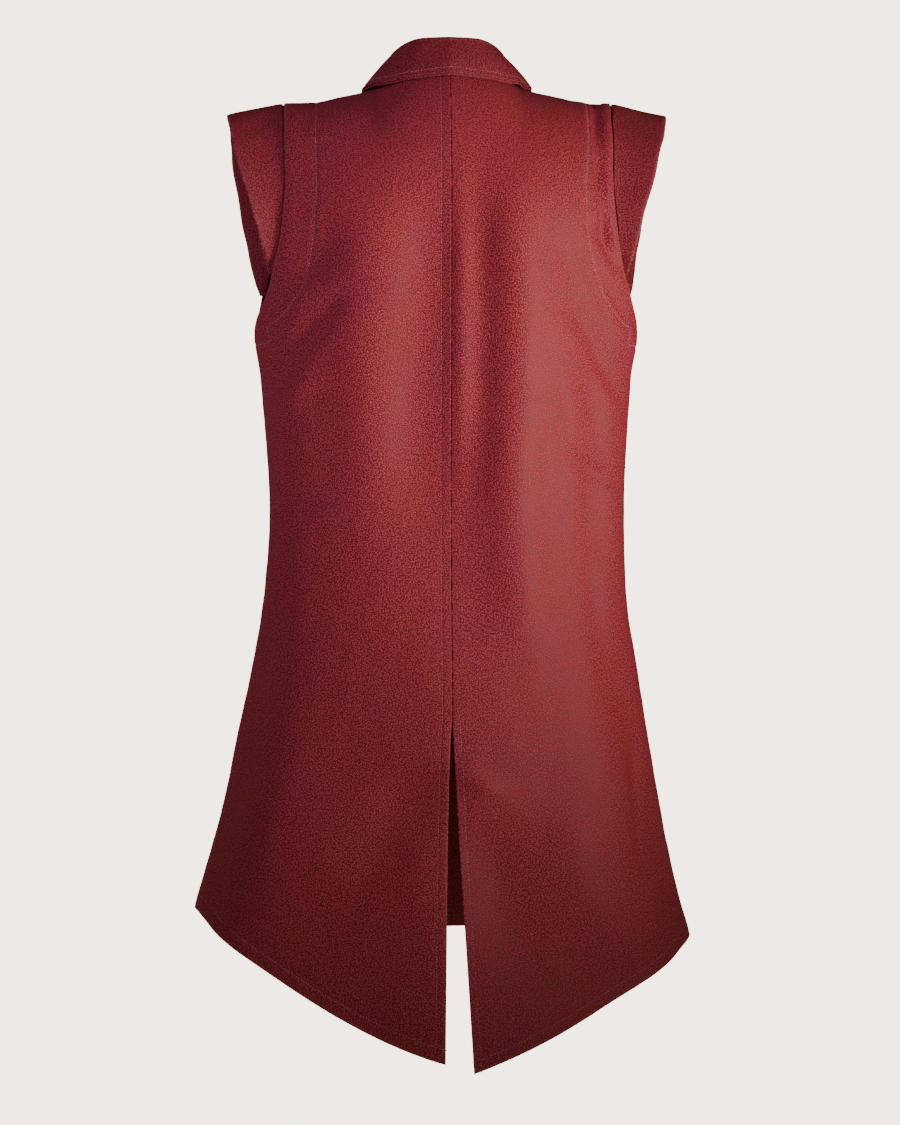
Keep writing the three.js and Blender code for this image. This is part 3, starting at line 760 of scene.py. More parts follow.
COLLAR_PRESS = (2, 34)  # distances outside the collar's edge where its pressure starts to fade, and ends
COLLAR_PRESS_Z = (-160, -120)


def nearest_on(line, points):
    """Each point's distance to a line, and the running length where it is nearest."""
    tree = KDTree(len(line))
    for i, place in enumerate(line):
        tree.insert(place, i)
    tree.balance()
    found = [tree.find(place)[1:] for place in points.reshape(-1, 3)]
    index, distance = np.array(found).T
    return distance.reshape(points.shape[:-1]), index.reshape(points.shape[:-1]) * THREAD_STEP


def under_collar(points):
    """1 where the collar lies on a panel, and 0 away from it."""
    radius = np.hypot(points[..., 0], points[..., 1])
    turn = np.degrees(np.arctan2(np.abs(points[..., 0]), points[..., 1]))
    away = radius - np.interp(turn, COLLAR_EDGE["turn"], COLLAR_EDGE["radius"])
    return (1 - smooth(away, *COLLAR_PRESS)) * smooth(points[..., 2], *COLLAR_PRESS_Z)


def panel_relief(grid):
    """How far a panel's cloth stands out from the form, and the stitching's own relief on its outer face."""
    face, side, points = grid["face"], grid["side"], grid["points"]
    z = points[..., 2]
    around = SIDES[side] * grid["angle"] / QUARTER
    creases = crease_height(face, around, z) * over_face(around)
    body = creases + wave_height(BROAD_WAVES, points) + wave_height(FINE_WAVES, points)
    body *= 1 - under_collar(points)
    stitched, worn = np.zeros_like(body), np.zeros_like(body)
    for name, (rows, cols) in grid["lines"].items():
        depth, width = GROOVE[name]
        line = even_line(read_grid(points, rows, cols), THREAD_STEP)
        gap, along = nearest_on(line, points)
        turns = (2 * math.pi * along / length + rng.uniform(0, 6) for length in PUCKER_LENGTHS)
        pucker = sum(np.sin(turn) for turn in turns)
        stitched -= depth * bell(gap, width)
        stitched += PUCKER_HEIGHT[name] * pucker * bell(gap, PUCKER_WIDTH) / 2
        if name == "facing":
            worn += LINE_WEAR[side] * bell(gap, WORN_EDGE)
    stitched += EDGE_LIFT * (1 - smooth(grid["above_hem"], *HEM_TURNED))
    lift = SEAM_LIFT[side] if face == "back" else 2 * EDGE_LIFT
    stitched += lift * (1 - smooth(grid["from_centre"], *(SEAM_TURNED if lift > 0 else SEAM_SUNK)))
    armhole = smooth(z, *ARM_LIFT_Z) * (1 - ARM_LIFT_LOSS * smooth(z, *ARM_LIFT_LOSS_Z))
    body += ARM_LIFT * armhole * bell(grid["from_edge"], ARM_LIFT_WIDTH)
    if (face, side) == ("back", "right"):
        swell = BAND_MEAN + BAND_SWELL * np.sin(z / BAND_SWELL_Z)
        for height, middle, width in BAND_FOLDS:
            body += height * bell(grid["from_edge"] - middle, width) * smooth(z, *BAND_Z) * swell
    return body, stitched, worn


for grid in panels.values():
    grid["lines"] = stitched_lines(grid)
    grid["body"], grid["stitched"], grid["worn"] = panel_relief(grid)
    lowest, highest = grid["body"].min().round(1), grid["body"].max().round(1)
    print(grid["face"], grid["side"], "relief from", lowest, "to", highest)


# %% [markdown]
# ## Shells
#
# A shell is two grids, the outer and the inner face of the cloth, joined by a rounded rim all round.
# Solidify could give the thickness, but here the outer face alone carries the grooves of the stitching, and
# the rim is rounded so that an edge catches the light as folded cloth does. Each shell has its own UV map,
# in metres along and across the cloth, so that the weave follows the panel, and an attribute that says
# where its edges are worn.

# %% Shells
CLOTH = 1.8
RIM_ANGLES = np.radians([45, 90, 135])
SEWN_IN = 2.8  # how far in a seam hides a panel's edge, which isn't rubbed there


def cloth_shell(name, outer, inner, pattern, rim, sewn_in=0, rubbed=1, worn=0):
    """A closed mesh between two grids of points, with a rounded rim that reaches their border.

    A border that lies in a seam wears less: sewn_in says how far in the first column lies, for each row.
    Rubbed says how much the edges wear in all, and worn how much the outer face does, point by point.
    """
    rows, cols = outer.shape[:2]
    border = [(0, c) for c in range(cols)] + [(r, cols - 1) for r in range(1, rows)]
    border += [(rows - 1, c) for c in range(cols - 2, -1, -1)] + [(r, 0) for r in range(rows - 2, 0, -1)]
    r, c = np.array(border).T
    middle = (outer + inner) / 2
    out = rim * unit(middle[r, c] - middle[np.clip(r, 1, rows - 2), np.clip(c, 1, cols - 2)])
    half = (outer - inner)[r, c] / 2
    core = middle[r, c] - out
    outer, inner = outer.copy(), inner.copy()
    outer[r, c] = core + half
    inner[r, c] = core - half
    rings = [core + out * math.sin(a) + half * math.cos(a) for a in RIM_ANGLES]
    vertices = np.concatenate([outer.reshape(-1, 3), inner.reshape(-1, 3), *rings])
    index = np.arange(rows * cols).reshape(rows, cols)
    quads = np.stack((index[:-1, :-1], index[:-1, 1:], index[1:, 1:], index[1:, :-1]), axis=-1).reshape(-1, 4)
    loops = [index[r, c], *(2 * rows * cols + k * len(r) + np.arange(len(r)) for k in range(len(rings)))]
    loops.append(rows * cols + index[r, c])
    faces = [quads, quads[:, ::-1] + rows * cols]
    for here, there in zip(loops[:-1], loops[1:]):
        faces.append(np.stack((here, there, np.roll(there, -1), np.roll(here, -1)), axis=-1))
    faces = np.concatenate(faces)
    a, b, d = (vertices[faces[:, i]] for i in (0, 1, 3))
    e = vertices[faces[:, 2]]
    volume = np.einsum("ij,ij->", a, np.cross(b, e)) + np.einsum("ij,ij->", a, np.cross(e, d))
    if volume < 0:
        faces = faces[:, ::-1]
    mesh = bpy.data.meshes.new(name)
    mesh.from_pydata((vertices * MM).tolist(), [], faces.tolist())
    mesh.polygons.foreach_set("use_smooth", np.ones(len(faces), bool))
    flat = np.concatenate((pattern.reshape(-1, 2), pattern.reshape(-1, 2), *(pattern[r, c] for _ in rings)))
    corner = np.empty(len(mesh.loops), int)
    mesh.loops.foreach_get("vertex_index", corner)
    mesh.uv_layers.new(name="cloth").data.foreach_set("uv", (flat[corner] * MM).ravel())
    sewn_in = np.full(rows, sewn_in, float)
    across = np.minimum(steps_along(outer, 1) + sewn_in[:, None], steps_back(outer, 1))
    upward = np.minimum(steps_along(outer, 0), steps_back(outer, 0))
    edge = rubbed * bell(np.minimum(across, upward), WORN_EDGE)
    bare = rubbed * np.where(c == 0, bell(sewn_in[r], WORN_EDGE), 1)
    worn = np.concatenate((np.maximum(edge, worn).ravel(), edge.ravel(), *(bare for _ in rings)))
    mesh.attributes.new("worn", "FLOAT", "POINT").data.foreach_set("value", worn)
    mesh.validate()
    return add_object(name, mesh)


def cut_size(points):
    """Width, length and area of a grid laid flat, in metres."""
    width = steps_along(points, 1)[:, -1].max() * MM
    length = steps_along(points, 0)[-1].max() * MM
    across, up = np.diff(points, axis=1)[:-1], np.diff(points, axis=0)[:, :-1]
    area = np.linalg.norm(np.cross(across, up), axis=-1).sum() * MM ** 2
    return width, length, area


# %% Panels
def lap_shift(grid):
    """The left front lies over the right one, so each leaves the form by half of the lap's rise."""
    if grid["face"] == "back":
        return 0
    lap = angle_of(LAP)
    away = (np.abs(grid["angle"]) - lap) / lap
    return SIDES[grid["side"]] * LAP_RISE * (1 - smooth(away, *LAP_EASE)) / 2


def weave_place(grid):
    """The cloth's own coordinates on a panel: across from the centre line, and up the grain."""
    points = grid["points"]
    step = np.diff(points, axis=1)
    level = grid["share"][:, 0] > 0
    across = np.where(level[:, None], np.linalg.norm(step, axis=-1), np.hypot(step[..., 0], step[..., 1]))
    across = np.insert(np.cumsum(across, axis=1), 0, 0, axis=1)
    up = points[..., 2].copy()
    turn_row = np.argmax(level)
    rise = steps_along(points[turn_row - 1:], 0)[1:]
    up[turn_row:] = up[turn_row - 1] + rise
    return np.stack((SIDES[grid["side"]] * across, up), axis=-1)


def make_panel(grid):
    """One panel's shell, with the middle of its cloth kept for the wings."""
    normals = grid["normals"]
    offset = (grid["body"] + lap_shift(grid))[..., None]
    grid["middle"] = grid["points"] + normals * offset
    grid["outer"] = grid["middle"] + normals * (CLOTH / 2 + grid["stitched"][..., None])
    grid["inner"] = grid["middle"] - normals * CLOTH / 2
    name = f"{grid['face']}_{grid['side']}_cloth"
    in_seam = (grid["face"] == "back") * smooth(grid["points"][:, 0, 2], VENT_TOP_Z - VENT_EASE, VENT_TOP_Z)
    faces = grid["outer"], grid["inner"]
    return cloth_shell(name, *faces, weave_place(grid), CLOTH / 2, SEWN_IN * in_seam, worn=grid["worn"])


pieces, cuts = {}, {}
for (face, side), grid in panels.items():
    pieces[f"{face}_{side}"] = make_panel(grid)
    cuts[f"{face}_{side}"] = cut_size(grid["points"])
    print(face, side, "cut (width, length, area):", np.round(cuts[f"{face}_{side}"], 3))


# %% [markdown]
# ## Shoulder wings
#
# A wing is a strip of the same cloth folded double, caught in the armhole seam from behind, over the
# shoulder and down the front. It starts just under the panels' edges, so it is made from their own points,
# and then bends away to its folded outer edge. It is widest at the shoulder seam and dies away to nothing
# at both ends.

# %% Wings
WING_CLOTH = 3.6
WING_WIDTH = 60
WING_END_WIDTH = 3
WING_END_Z = {"back": -200, "front": -216}
WING_FULLNESS = {"back": {"left": 2, "right": 1.85}, "front": {"left": 2.1, "right": 1.6}}
WING_LEAN = {  # the way a wing points at its ends, as if it were the left one
    "back": {"left": (0.96, -0.02, -0.22), "right": (0.96, 0.13, -0.22)},
    "front": {"left": (0.96, -0.12, -0.22), "right": (0.96, -0.12, -0.22)},
}
WING_LEAN_TOP = (0.97, 0, -0.215)
WING_BEND = {"left": 0.26, "right": 0.12}  # share of the width that goes on along the panel before it bends
WING_CLEAR = 1.5  # how far outside the armhole's edge it comes free
WING_TUCK = 8  # how far inside the armhole's edge a wing begins
WING_COLUMNS = 26
WING_EASE = 1.5  # crowds the columns near the armhole
TUCK_GAP = 1.5  # space between it and the panel over its root
WING_RISE = 2.9  # from the dark slit at the armhole's edge up to the panel's own level
WING_RISE_FROM = (0.2, 3)  # distances from the slit where it starts to rise, and is up
WING_RISE_WIDTH = (8, 16)  # a narrow end of the wing doesn't rise
WING_FREE = (0.05, 0.4)  # shares of the width where its waves start, and are full
WING_WAVES = random_waves(30, 30, 90, 0.55, 1)
WING_EDGE_WAVES = random_waves(16, 26, 70, 0.6, 1)
WING_EDGE_ENDS = (0, 0.3, 0.85, 1)  # shares of the way from a wing's end to the shoulder seam


def wing_root(grid):
    """The armhole's edge and the points a little inside it, with their normals, from the wing's end up."""
    rows = np.arange(len(grid["points"]), dtype=float)
    keep = (grid["points"][:, -1, 2] >= WING_END_Z[grid["face"]]) | (grid["share"][:, 0] > 0)
    places = [column_before(grid["from_edge"], inside) for inside in (0, WING_TUCK)]
    return [read_grid(grid[key], rows, cols)[keep] for key in ("middle", "normals") for cols in places]


def wing_line(side):
    """Root points, tucked points, and the share of full width, from the back end to the front end."""
    parts = []
    for face in ("back", "front"):
        edge, tuck, edge_normal, tuck_normal = wing_root(panels[face, side])
        below = CLOTH / 2 + TUCK_GAP
        start, tucked = edge - edge_normal * below, tuck - tuck_normal * below
        run = steps_along(edge, 0)
        share = run / run[-1]
        width = blend(WING_END_WIDTH, WING_WIDTH, 1 - (1 - share) ** WING_FULLNESS[face][side])
        width += wave_height(WING_EDGE_WAVES, edge) * plateau(share, *WING_EDGE_ENDS)
        lean = blend(np.array(WING_LEAN[face][side]), np.array(WING_LEAN_TOP), (share ** 2)[:, None])
        parts.append((start, tucked, width, unit(lean)))
    behind, ahead = parts
    return [np.concatenate((b, a[-2::-1])) for b, a in zip(behind, ahead)]


def make_wing(side):
    """A wing's shell and the size of one face. Across, a wing bends from its root towards its edge."""
    start, tucked, width, lean = wing_line(side)
    lean = lean * (SIDES[side], 1, 1)
    along = unit(start - tucked)
    start = start + along * WING_CLEAR
    bend = start + along * (WING_BEND[side] * width)[:, None]
    edge = start + lean * width[:, None]
    t = np.linspace(0, 1, WING_COLUMNS)[None, :, None] ** WING_EASE
    first, last = blend(start[:, None], bend[:, None], t), blend(bend[:, None], edge[:, None], t)
    outer = np.concatenate((tucked[:, None], blend(first, last, t)), axis=1)
    normals = grid_normals(outer) * SIDES[side]
    free = np.insert(np.linspace(0, 1, WING_COLUMNS), 0, 0)
    from_slit = np.maximum(steps_along(outer, 1) - WING_TUCK, 0)
    rise = WING_RISE * smooth(from_slit, *WING_RISE_FROM) * smooth(width, *WING_RISE_WIDTH)[:, None]
    outer = outer + normals * (rise + wave_height(WING_WAVES, outer) * smooth(free, *WING_FREE))[..., None]
    inner = outer - normals * WING_CLOTH
    pattern = np.stack((steps_along(outer, 1), steps_along(outer, 0)), axis=-1)
    made = cloth_shell(f"wing_{side}_cloth", outer, inner, pattern, WING_CLOTH / 2)
    return made, cut_size(outer)


for side in SIDES:
    name = f"shoulder_wing_{side}"
    pieces[name], cuts[name] = make_wing(side)
    print(name, "one face:", np.round(cuts[name], 3))


# %% [markdown]
# ## Collar
#
# The collar is two layers of cloth that stand up from the neckline, turn over a tight fold, and fall back
# on the panels. A section through it at each turn round the neck gives its foot, its fold and its edge. The
# under layer is a little larger, so it peeps out below the edge. On each side of the nape the fall doesn't
# quite reach the back, which leaves a narrow dark gap.

# %% Collar
COLLAR_CLOTH = 1.4
LAYER_GAP = 0.5
COLLAR_SPREAD = COLLAR_CLOTH + LAYER_GAP
COLLAR_FOLD = 2.3
COLLAR_LIFT = 0.6
COLLAR_REST = 1.7
COLLAR_BULGE = 1.5
UNDER_COLLAR_PEEP = 2
COLLAR_END = 176  # the last turn, in degrees from the nape
LAP_TURNS = (100, 140)  # turns where it climbs on to the lap
COLLAR_GAPE = {"left": (62, 12, 4.0), "right": (57, 10, 4.6)}  # turn, width in turns, height
COLLAR_STITCH = 6  # the stitches' distance from the edge
COLLAR_GROOVE = (0.35, 1.3)  # depth and width
COLLAR_RUBBED = 0.3
TURN_STEP = 2
COLLAR = columns("turn roll_x roll_y roll_z edge_x edge_y", [
    (0, 0, 60, 48, 0, 74.5),
    (20, 20.5, 56.5, 47.8, 28.5, 68),
    (30, 30, 53, 47.5, 42, 63),
    (60, 50, 31, 42, 71, 42),
    (90, 58, 0, 36, 88, 2),
    (120, 52, -33, 19, 88, -50),
    (150, 30, -60, -18, 75, -88),
    (COLLAR_END, 5, -72, -50, 52, -104),
])
collar_at = {field: curve_through(COLLAR["turn"], COLLAR[field]) for field in COLLAR}
STAND_SHARES = [0, 0.25, 0.5, 0.75]
FOLD_STEPS = np.radians(np.linspace(180, 0, 13))
FALL_SHARES = np.linspace(0, 1, 17)[1:]


def form_over(x, y):
    """The form's surface over a place in plan near the neck, and its outward normal there."""
    found = []
    for face, shape in FACES.items():
        angle = np.arcsin(x / half_at["left"](shape["turn"]))
        depth = depth_at[face](shape["turn"]) * np.cos(angle) ** shape["square"]
        level = np.arccos(np.clip(np.abs(y) / depth, 0, 1)) / QUARTER
        here = form_point(face, angle, level)
        step = 0.004
        turned = np.where(angle > 0, -step, step)
        sidewise = (form_point(face, angle + turned, level) - here) * np.sign(turned)[:, None]
        down = form_point(face, angle, level - step) - here
        normal = np.cross(sidewise, down) * shape["sign"]
        found.append((here, unit(normal)))
    behind = (y >= 0)[:, None]
    return [np.where(behind, back, front) for back, front in zip(*found)]


def collar_sections():
    """The middle line of the collar at each turn, from the right front round the nape to the left front."""
    turn = np.arange(-COLLAR_END, COLLAR_END + TURN_STEP, TURN_STEP, dtype=float)
    side, bearing = np.sign(turn), np.radians(np.abs(turn))
    read = {field: curve(np.abs(turn)) for field, curve in collar_at.items()}
    reach = np.cos(bearing)
    neck_y = reach * np.where(reach >= 0, FACES["back"]["neck"], FACES["front"]["neck"])
    neck, _ = form_over(side * NECK_HALF * np.sin(bearing), neck_y)
    roll = np.stack((side * read["roll_x"], read["roll_y"], read["roll_z"]), axis=1)
    rest, rest_normal = form_over(side * read["edge_x"], read["edge_y"])
    over_lap = LAP_RISE * smooth(np.abs(turn), *LAP_TURNS) / 2
    gape = np.zeros_like(turn)
    for name, (at, width, height) in COLLAR_GAPE.items():
        gape += height * bell(turn * SIDES[name] - at, width)
    up = np.array([0, 0, 1.0])
    outward = unit((rest - roll) * (1, 1, 0))
    crown = roll - up * (COLLAR_FOLD + COLLAR_SPREAD / 2 + COLLAR_CLOTH / 2)
    foot = neck + up * (CLOTH / 2 + COLLAR_LIFT + over_lap)[:, None]
    stand = crown - outward * COLLAR_FOLD
    line = [blend(foot, stand, share) for share in STAND_SHARES]
    line += [crown + outward * COLLAR_FOLD * math.cos(a) + up * COLLAR_FOLD * math.sin(a) for a in FOLD_STEPS]
    start = line[-1]
    height = CLOTH / 2 + COLLAR_REST + COLLAR_SPREAD / 2 + COLLAR_CLOTH / 2 + over_lap + gape
    end = rest + rest_normal * height[:, None]
    drop = unit(end - start)
    lift = unit(outward - drop * np.sum(outward * drop, axis=1, keepdims=True))
    line += [blend(start, end, t) + lift * COLLAR_BULGE * math.sin(math.pi * t) for t in FALL_SHARES]
    return np.stack(line, axis=1)


COLLAR_WAVES = random_waves(24, 22, 70, 0.3, 1)
COLLAR_FREE = (0, 0.4)  # shares of the fall where its waves start, and are full


def make_collar(layer):
    """One layer of the collar, and the grid of its outer face."""
    sections = collar_sections()
    normals = grid_normals(sections)
    side = 1 if layer == "upper" else -1
    middle = sections + normals * side * COLLAR_SPREAD / 2
    fall = np.zeros(sections.shape[1])
    fall[-len(FALL_SHARES):] = smooth(FALL_SHARES, *COLLAR_FREE)
    middle = middle + normals * (wave_height(COLLAR_WAVES, sections) * fall)[..., None]
    stitched = np.zeros(middle.shape[:2])
    if layer == "under":
        middle[:, -1] += UNDER_COLLAR_PEEP * unit(middle[:, -1] - middle[:, -2])
    else:
        depth, width = COLLAR_GROOVE
        stitched -= depth * bell(steps_back(middle, 1) - COLLAR_STITCH, width)
    outer = middle + normals * (COLLAR_CLOTH / 2 + stitched[..., None])
    inner = middle - normals * COLLAR_CLOTH / 2
    around = steps_along(middle, 0)
    pattern = np.stack((steps_along(middle, 1), around - around[len(around) // 2]), axis=-1)
    name = f"collar_{layer}_cloth"
    made = cloth_shell(name, outer, inner, pattern, COLLAR_CLOTH / 2, rubbed=COLLAR_RUBBED)
    return made, outer, cut_size(middle)


collar_outer = {}
for layer in ("upper", "under"):
    name = f"collar_{layer}"
    pieces[name], collar_outer[layer], cuts[name] = make_collar(layer)
    print(name, "cut:", np.round(cuts[name], 3))


# %% [markdown]
# ## Turnings inside the seams
#
# Two edges that only meet would let light through, as they never do on a real garment: inside, each seam
# has its turnings, pressed flat and stitched down. A narrow doubled strip behind the centre seam, each side
# seam and each shoulder seam stands for them. It follows the inner faces of both panels that it joins.

# %% Turnings
TURNING_CLOTH = 1.2
TURNING_GAP = 0.35
TURNING_REACH = {"centre": (-4, 11), "left": (-9, 9), "right": (-9, 9)}
SHOULDER_REACH = {"front": 9, "back": 10}
SHOULDER_ENDS = (5, 16)  # how far a shoulder's strip keeps from the neckline and from the armhole
TURNING_STEP = 1.5
TURNING_ROW = 4.0
TURNING_END = 3  # how far a strip ends inside a hem, the vent's top or the neckline
UNDERARM_END = 5


def behind_panel(grid, edge, distance, heights):
    """Places just inside a panel, at one distance from its centre or outer edge, and the normals there."""
    reach = grid[f"from_{edge}"]
    cols = (column_where if edge == "centre" else column_before)(reach, distance)
    rows = np.arange(len(reach), dtype=float)
    inner, normal = read_grid(grid["inner"], rows, cols), read_grid(grid["normals"], rows, cols)
    place = inner - normal * (TURNING_GAP + TURNING_CLOTH / 2)
    return [np.stack([np.interp(heights, inner[:, 2], values[:, i]) for i in range(3)], axis=1)
            for values in (place, normal)]


def make_strip(name, lines, weave):
    """A strip of cloth through lines of places and normals. Weave turns its middle into cloth coordinates."""
    middle, normals = (np.stack(parts, axis=1) for parts in zip(*lines))
    half = normals * TURNING_CLOTH / 2
    pattern = np.stack(weave(middle), axis=-1)
    return cloth_shell(name, middle + half, middle - half, pattern, TURNING_CLOTH / 2)


def make_turning(name, here, there, edge, heights):
    """A strip behind the seam of two panels, from the second panel's side to the first one's."""
    low, high = TURNING_REACH[name]
    lines = [behind_panel(there, edge, -d, heights) for d in np.arange(low, 0, TURNING_STEP)]
    lines += [behind_panel(here, edge, d, heights) for d in np.arange(0.5, high, TURNING_STEP)]
    return make_strip(f"{name}_seam_turning", lines, lambda middle: (steps_along(middle, 1), middle[..., 2]))


def make_shoulder_turning(side):
    """A strip under a shoulder seam, between the collar and the wing, from the front to the back."""
    distances = {"front": np.arange(SHOULDER_REACH["front"], 0, -TURNING_STEP),
                 "back": np.arange(0.5, SHOULDER_REACH["back"], TURNING_STEP)}
    lines = []
    for face in distances:
        grid = panels[face, side]
        rows, cols = grid["inner"].shape[:2]
        across = np.abs(grid["inner"][-1, :, 0])
        places = np.arange(NECK_HALF + SHOULDER_ENDS[0], across[-1] - SHOULDER_ENDS[1], TURNING_ROW)
        at = np.interp(places, across, np.arange(cols))
        from_top = steps_along(grid["inner"][::-1], 0)[:, np.rint(at).astype(int)]
        for distance in distances[face]:
            row = rows - 1 - column_where(from_top.T, distance)
            normal = read_grid(grid["normals"], row, at)
            place = read_grid(grid["inner"], row, at) - normal * (TURNING_GAP + TURNING_CLOTH / 2)
            lines.append((place, normal))
    name = f"{side}_shoulder_turning"
    return make_strip(name, lines, lambda middle: (middle[..., 0], steps_along(middle, 1)))


trims = {name: [] for name in pieces}
neck_z = panels["back", "left"]["inner"][-1, 0, 2]
heights = np.arange(VENT_TOP_Z + TURNING_END, neck_z - TURNING_END, TURNING_ROW)
seam = make_turning("centre", panels["back", "left"], panels["back", "right"], "centre", heights)
trims["back_left"].append(seam)
for side in SIDES:
    hem_z = panels["back", side]["inner"][0, -1, 2]
    heights = np.arange(hem_z + TURNING_END, UNDERARM_Z - UNDERARM_END, TURNING_ROW)
    seam = make_turning(side, panels["back", side], panels["front", side], "edge", heights)
    trims[f"back_{side}"] += [seam, make_shoulder_turning(side)]
print("turnings:", [trim.name for made in trims.values() for trim in made])


# %% [markdown]
# ## Stitches
#
# All the seams are sewn by machine in a thin pink thread that shows as a row of small bright dashes.
# Geometry Nodes suit such a row: a line of points goes in, the tree cuts it at an even pitch and sets one
# small rounded stitch at each cut, turned along the line and a little out of true. The same tree serves
# every stitched line, and its result is turned into a plain mesh.

# %% The stitch tree
STITCH_PITCH = 3.0
STITCH_LENGTH = 2.3
THREAD_RADIUS = 0.36
STITCH_TURN = math.radians(5)


def stitch_tree():
    """A node tree that sets stitches along a line of edges."""
    tree = bpy.data.node_groups.new("machine_stitches", "GeometryNodeTree")
    sockets = {"Line": "Geometry", "Pitch": "Float", "Length": "Float", "Thread radius": "Float",
               "Turn": "Float", "Seed": "Int", "Thread": "Material"}
    for name, kind in sockets.items():
        tree.interface.new_socket(name, in_out="INPUT", socket_type=f"NodeSocket{kind}")
    tree.interface.new_socket("Stitches", in_out="OUTPUT", socket_type="NodeSocketGeometry")
    given = add_node(tree, "NodeGroupInput").outputs
    curve = add_node(tree, "GeometryNodeMeshToCurve", {"Mesh": given["Line"]}).outputs[0]
    cuts = add_node(tree, "GeometryNodeResampleCurve", {"Curve": curve, "Length": given["Pitch"]},
                    mode="LENGTH").outputs[0]
    tangent = add_node(tree, "GeometryNodeInputTangent").outputs[0]
    along = add_node(tree, "FunctionNodeAlignRotationToVector", {"Vector": tangent}, axis="X").outputs[0]
    turn = given["Turn"]
    askew = add_node(tree, "FunctionNodeRandomValue",
                     {"Min": add_product(tree, turn, -1), "Max": turn, "Seed": given["Seed"]},
                     data_type="FLOAT_VECTOR").outputs[0]
    turned = add_node(tree, "FunctionNodeRotateRotation", {0: along, 1: askew},
                      rotation_space="LOCAL").outputs[0]
    ball = add_node(tree, "GeometryNodeMeshUVSphere", {"Segments": 6, "Rings": 5, "Radius": 1}).outputs[0]
    half, thick = add_product(tree, given["Length"], 0.5), given["Thread radius"]
    size = add_node(tree, "ShaderNodeCombineXYZ", {0: half, 1: thick, 2: thick}).outputs[0]
    stitch = add_node(tree, "GeometryNodeTransform", {"Geometry": ball, "Scale": size}).outputs[0]
    row = add_node(tree, "GeometryNodeInstanceOnPoints",
                   {"Points": cuts, "Instance": stitch, "Rotation": turned}).outputs[0]
    real = add_node(tree, "GeometryNodeRealizeInstances", {"Geometry": row}).outputs[0]
    soft = add_node(tree, "GeometryNodeSetShadeSmooth", {"Geometry": real}).outputs[0]
    sewn = add_node(tree, "GeometryNodeSetMaterial", {"Geometry": soft, "Material": given["Thread"]})
    add_node(tree, "NodeGroupOutput", {"Stitches": sewn.outputs[0]})
    return tree


STITCHES = stitch_tree()
print("stitch inputs:", [item.name for item in STITCHES.interface.items_tree if item.in_out == "INPUT"])


# %% Sewing along lines
def sew(name, lines):
    """A mesh of stitches along lines of points in millimetres."""
    vertices, edges = [], []
    for line in lines:
        first = len(vertices)
        vertices += (np.asarray(line) * MM).tolist()
        edges += [(i, i + 1) for i in range(first, len(vertices) - 1)]
    mesh = bpy.data.meshes.new(f"{name}_line")
    mesh.from_pydata(vertices, edges, [])
    line_object = add_object(f"{name}_line", mesh)
    modifier = line_object.modifiers.new("stitches", "NODES")
    modifier.node_group = STITCHES
    values = {"Pitch": STITCH_PITCH * MM, "Length": STITCH_LENGTH * MM, "Thread radius": THREAD_RADIUS * MM,
              "Turn": STITCH_TURN, "Seed": len(vertices), "Thread": THREAD}
    for item in STITCHES.interface.items_tree:
        if item.name in values:
            modifier[item.identifier] = values[item.name]
    bpy.context.view_layer.update()
    ready = line_object.evaluated_get(bpy.context.evaluated_depsgraph_get())
    sewn = add_object(name, bpy.data.meshes.new_from_object(ready))
    bpy.data.objects.remove(line_object)
    return sewn


# %% [markdown]
# ## Cloth and thread
#
# Heavy cotton twill is woven from thick carded yarn, dyed in the piece and brushed, so its surface is matt
# and slightly furry. Close by one sees fine diagonal ribs broken up into pebbles, with pale fibre ends on
# top. Colour, ribs and pebbles are worked out from the cloth's own coordinates, so they bend with each
# panel. The ribs of the real cloth are 0.8 mm apart, too fine to show here, so they are drawn twice as
# wide. Each shade is a pair of colours, the hollows' and the fibre ends'. The wings and the upper collar
# have ribs that run across the grain, and darker colours, which are painted shade.

# %% Brushed cotton twill
RIB_PITCH = 1.7
RIB_PERIOD = 0.314  # the Wave texture repeats every 0.314 at a scale of 1
PEBBLE = 1.75
PEBBLE_SIDES = (0.47, 0.04)  # how far from its middle a pebble starts to rise, and is level on top
PEBBLE_SHARE = 0.9  # what the pebbles have of the cloth's height, beside the ribs
PATCH = 85  # size of the slow changes of shade in the dye
PATCH_SHADES = (0.36, 0.64)  # noise values that have the warm shade and the cool one
NAP_SHADES = (-0.07, 0.78)  # heights that have the hollows' colour and the fibre ends' colour
NAP_HEIGHT = 0.4 * MM
EDGE_WEAR = 0.35


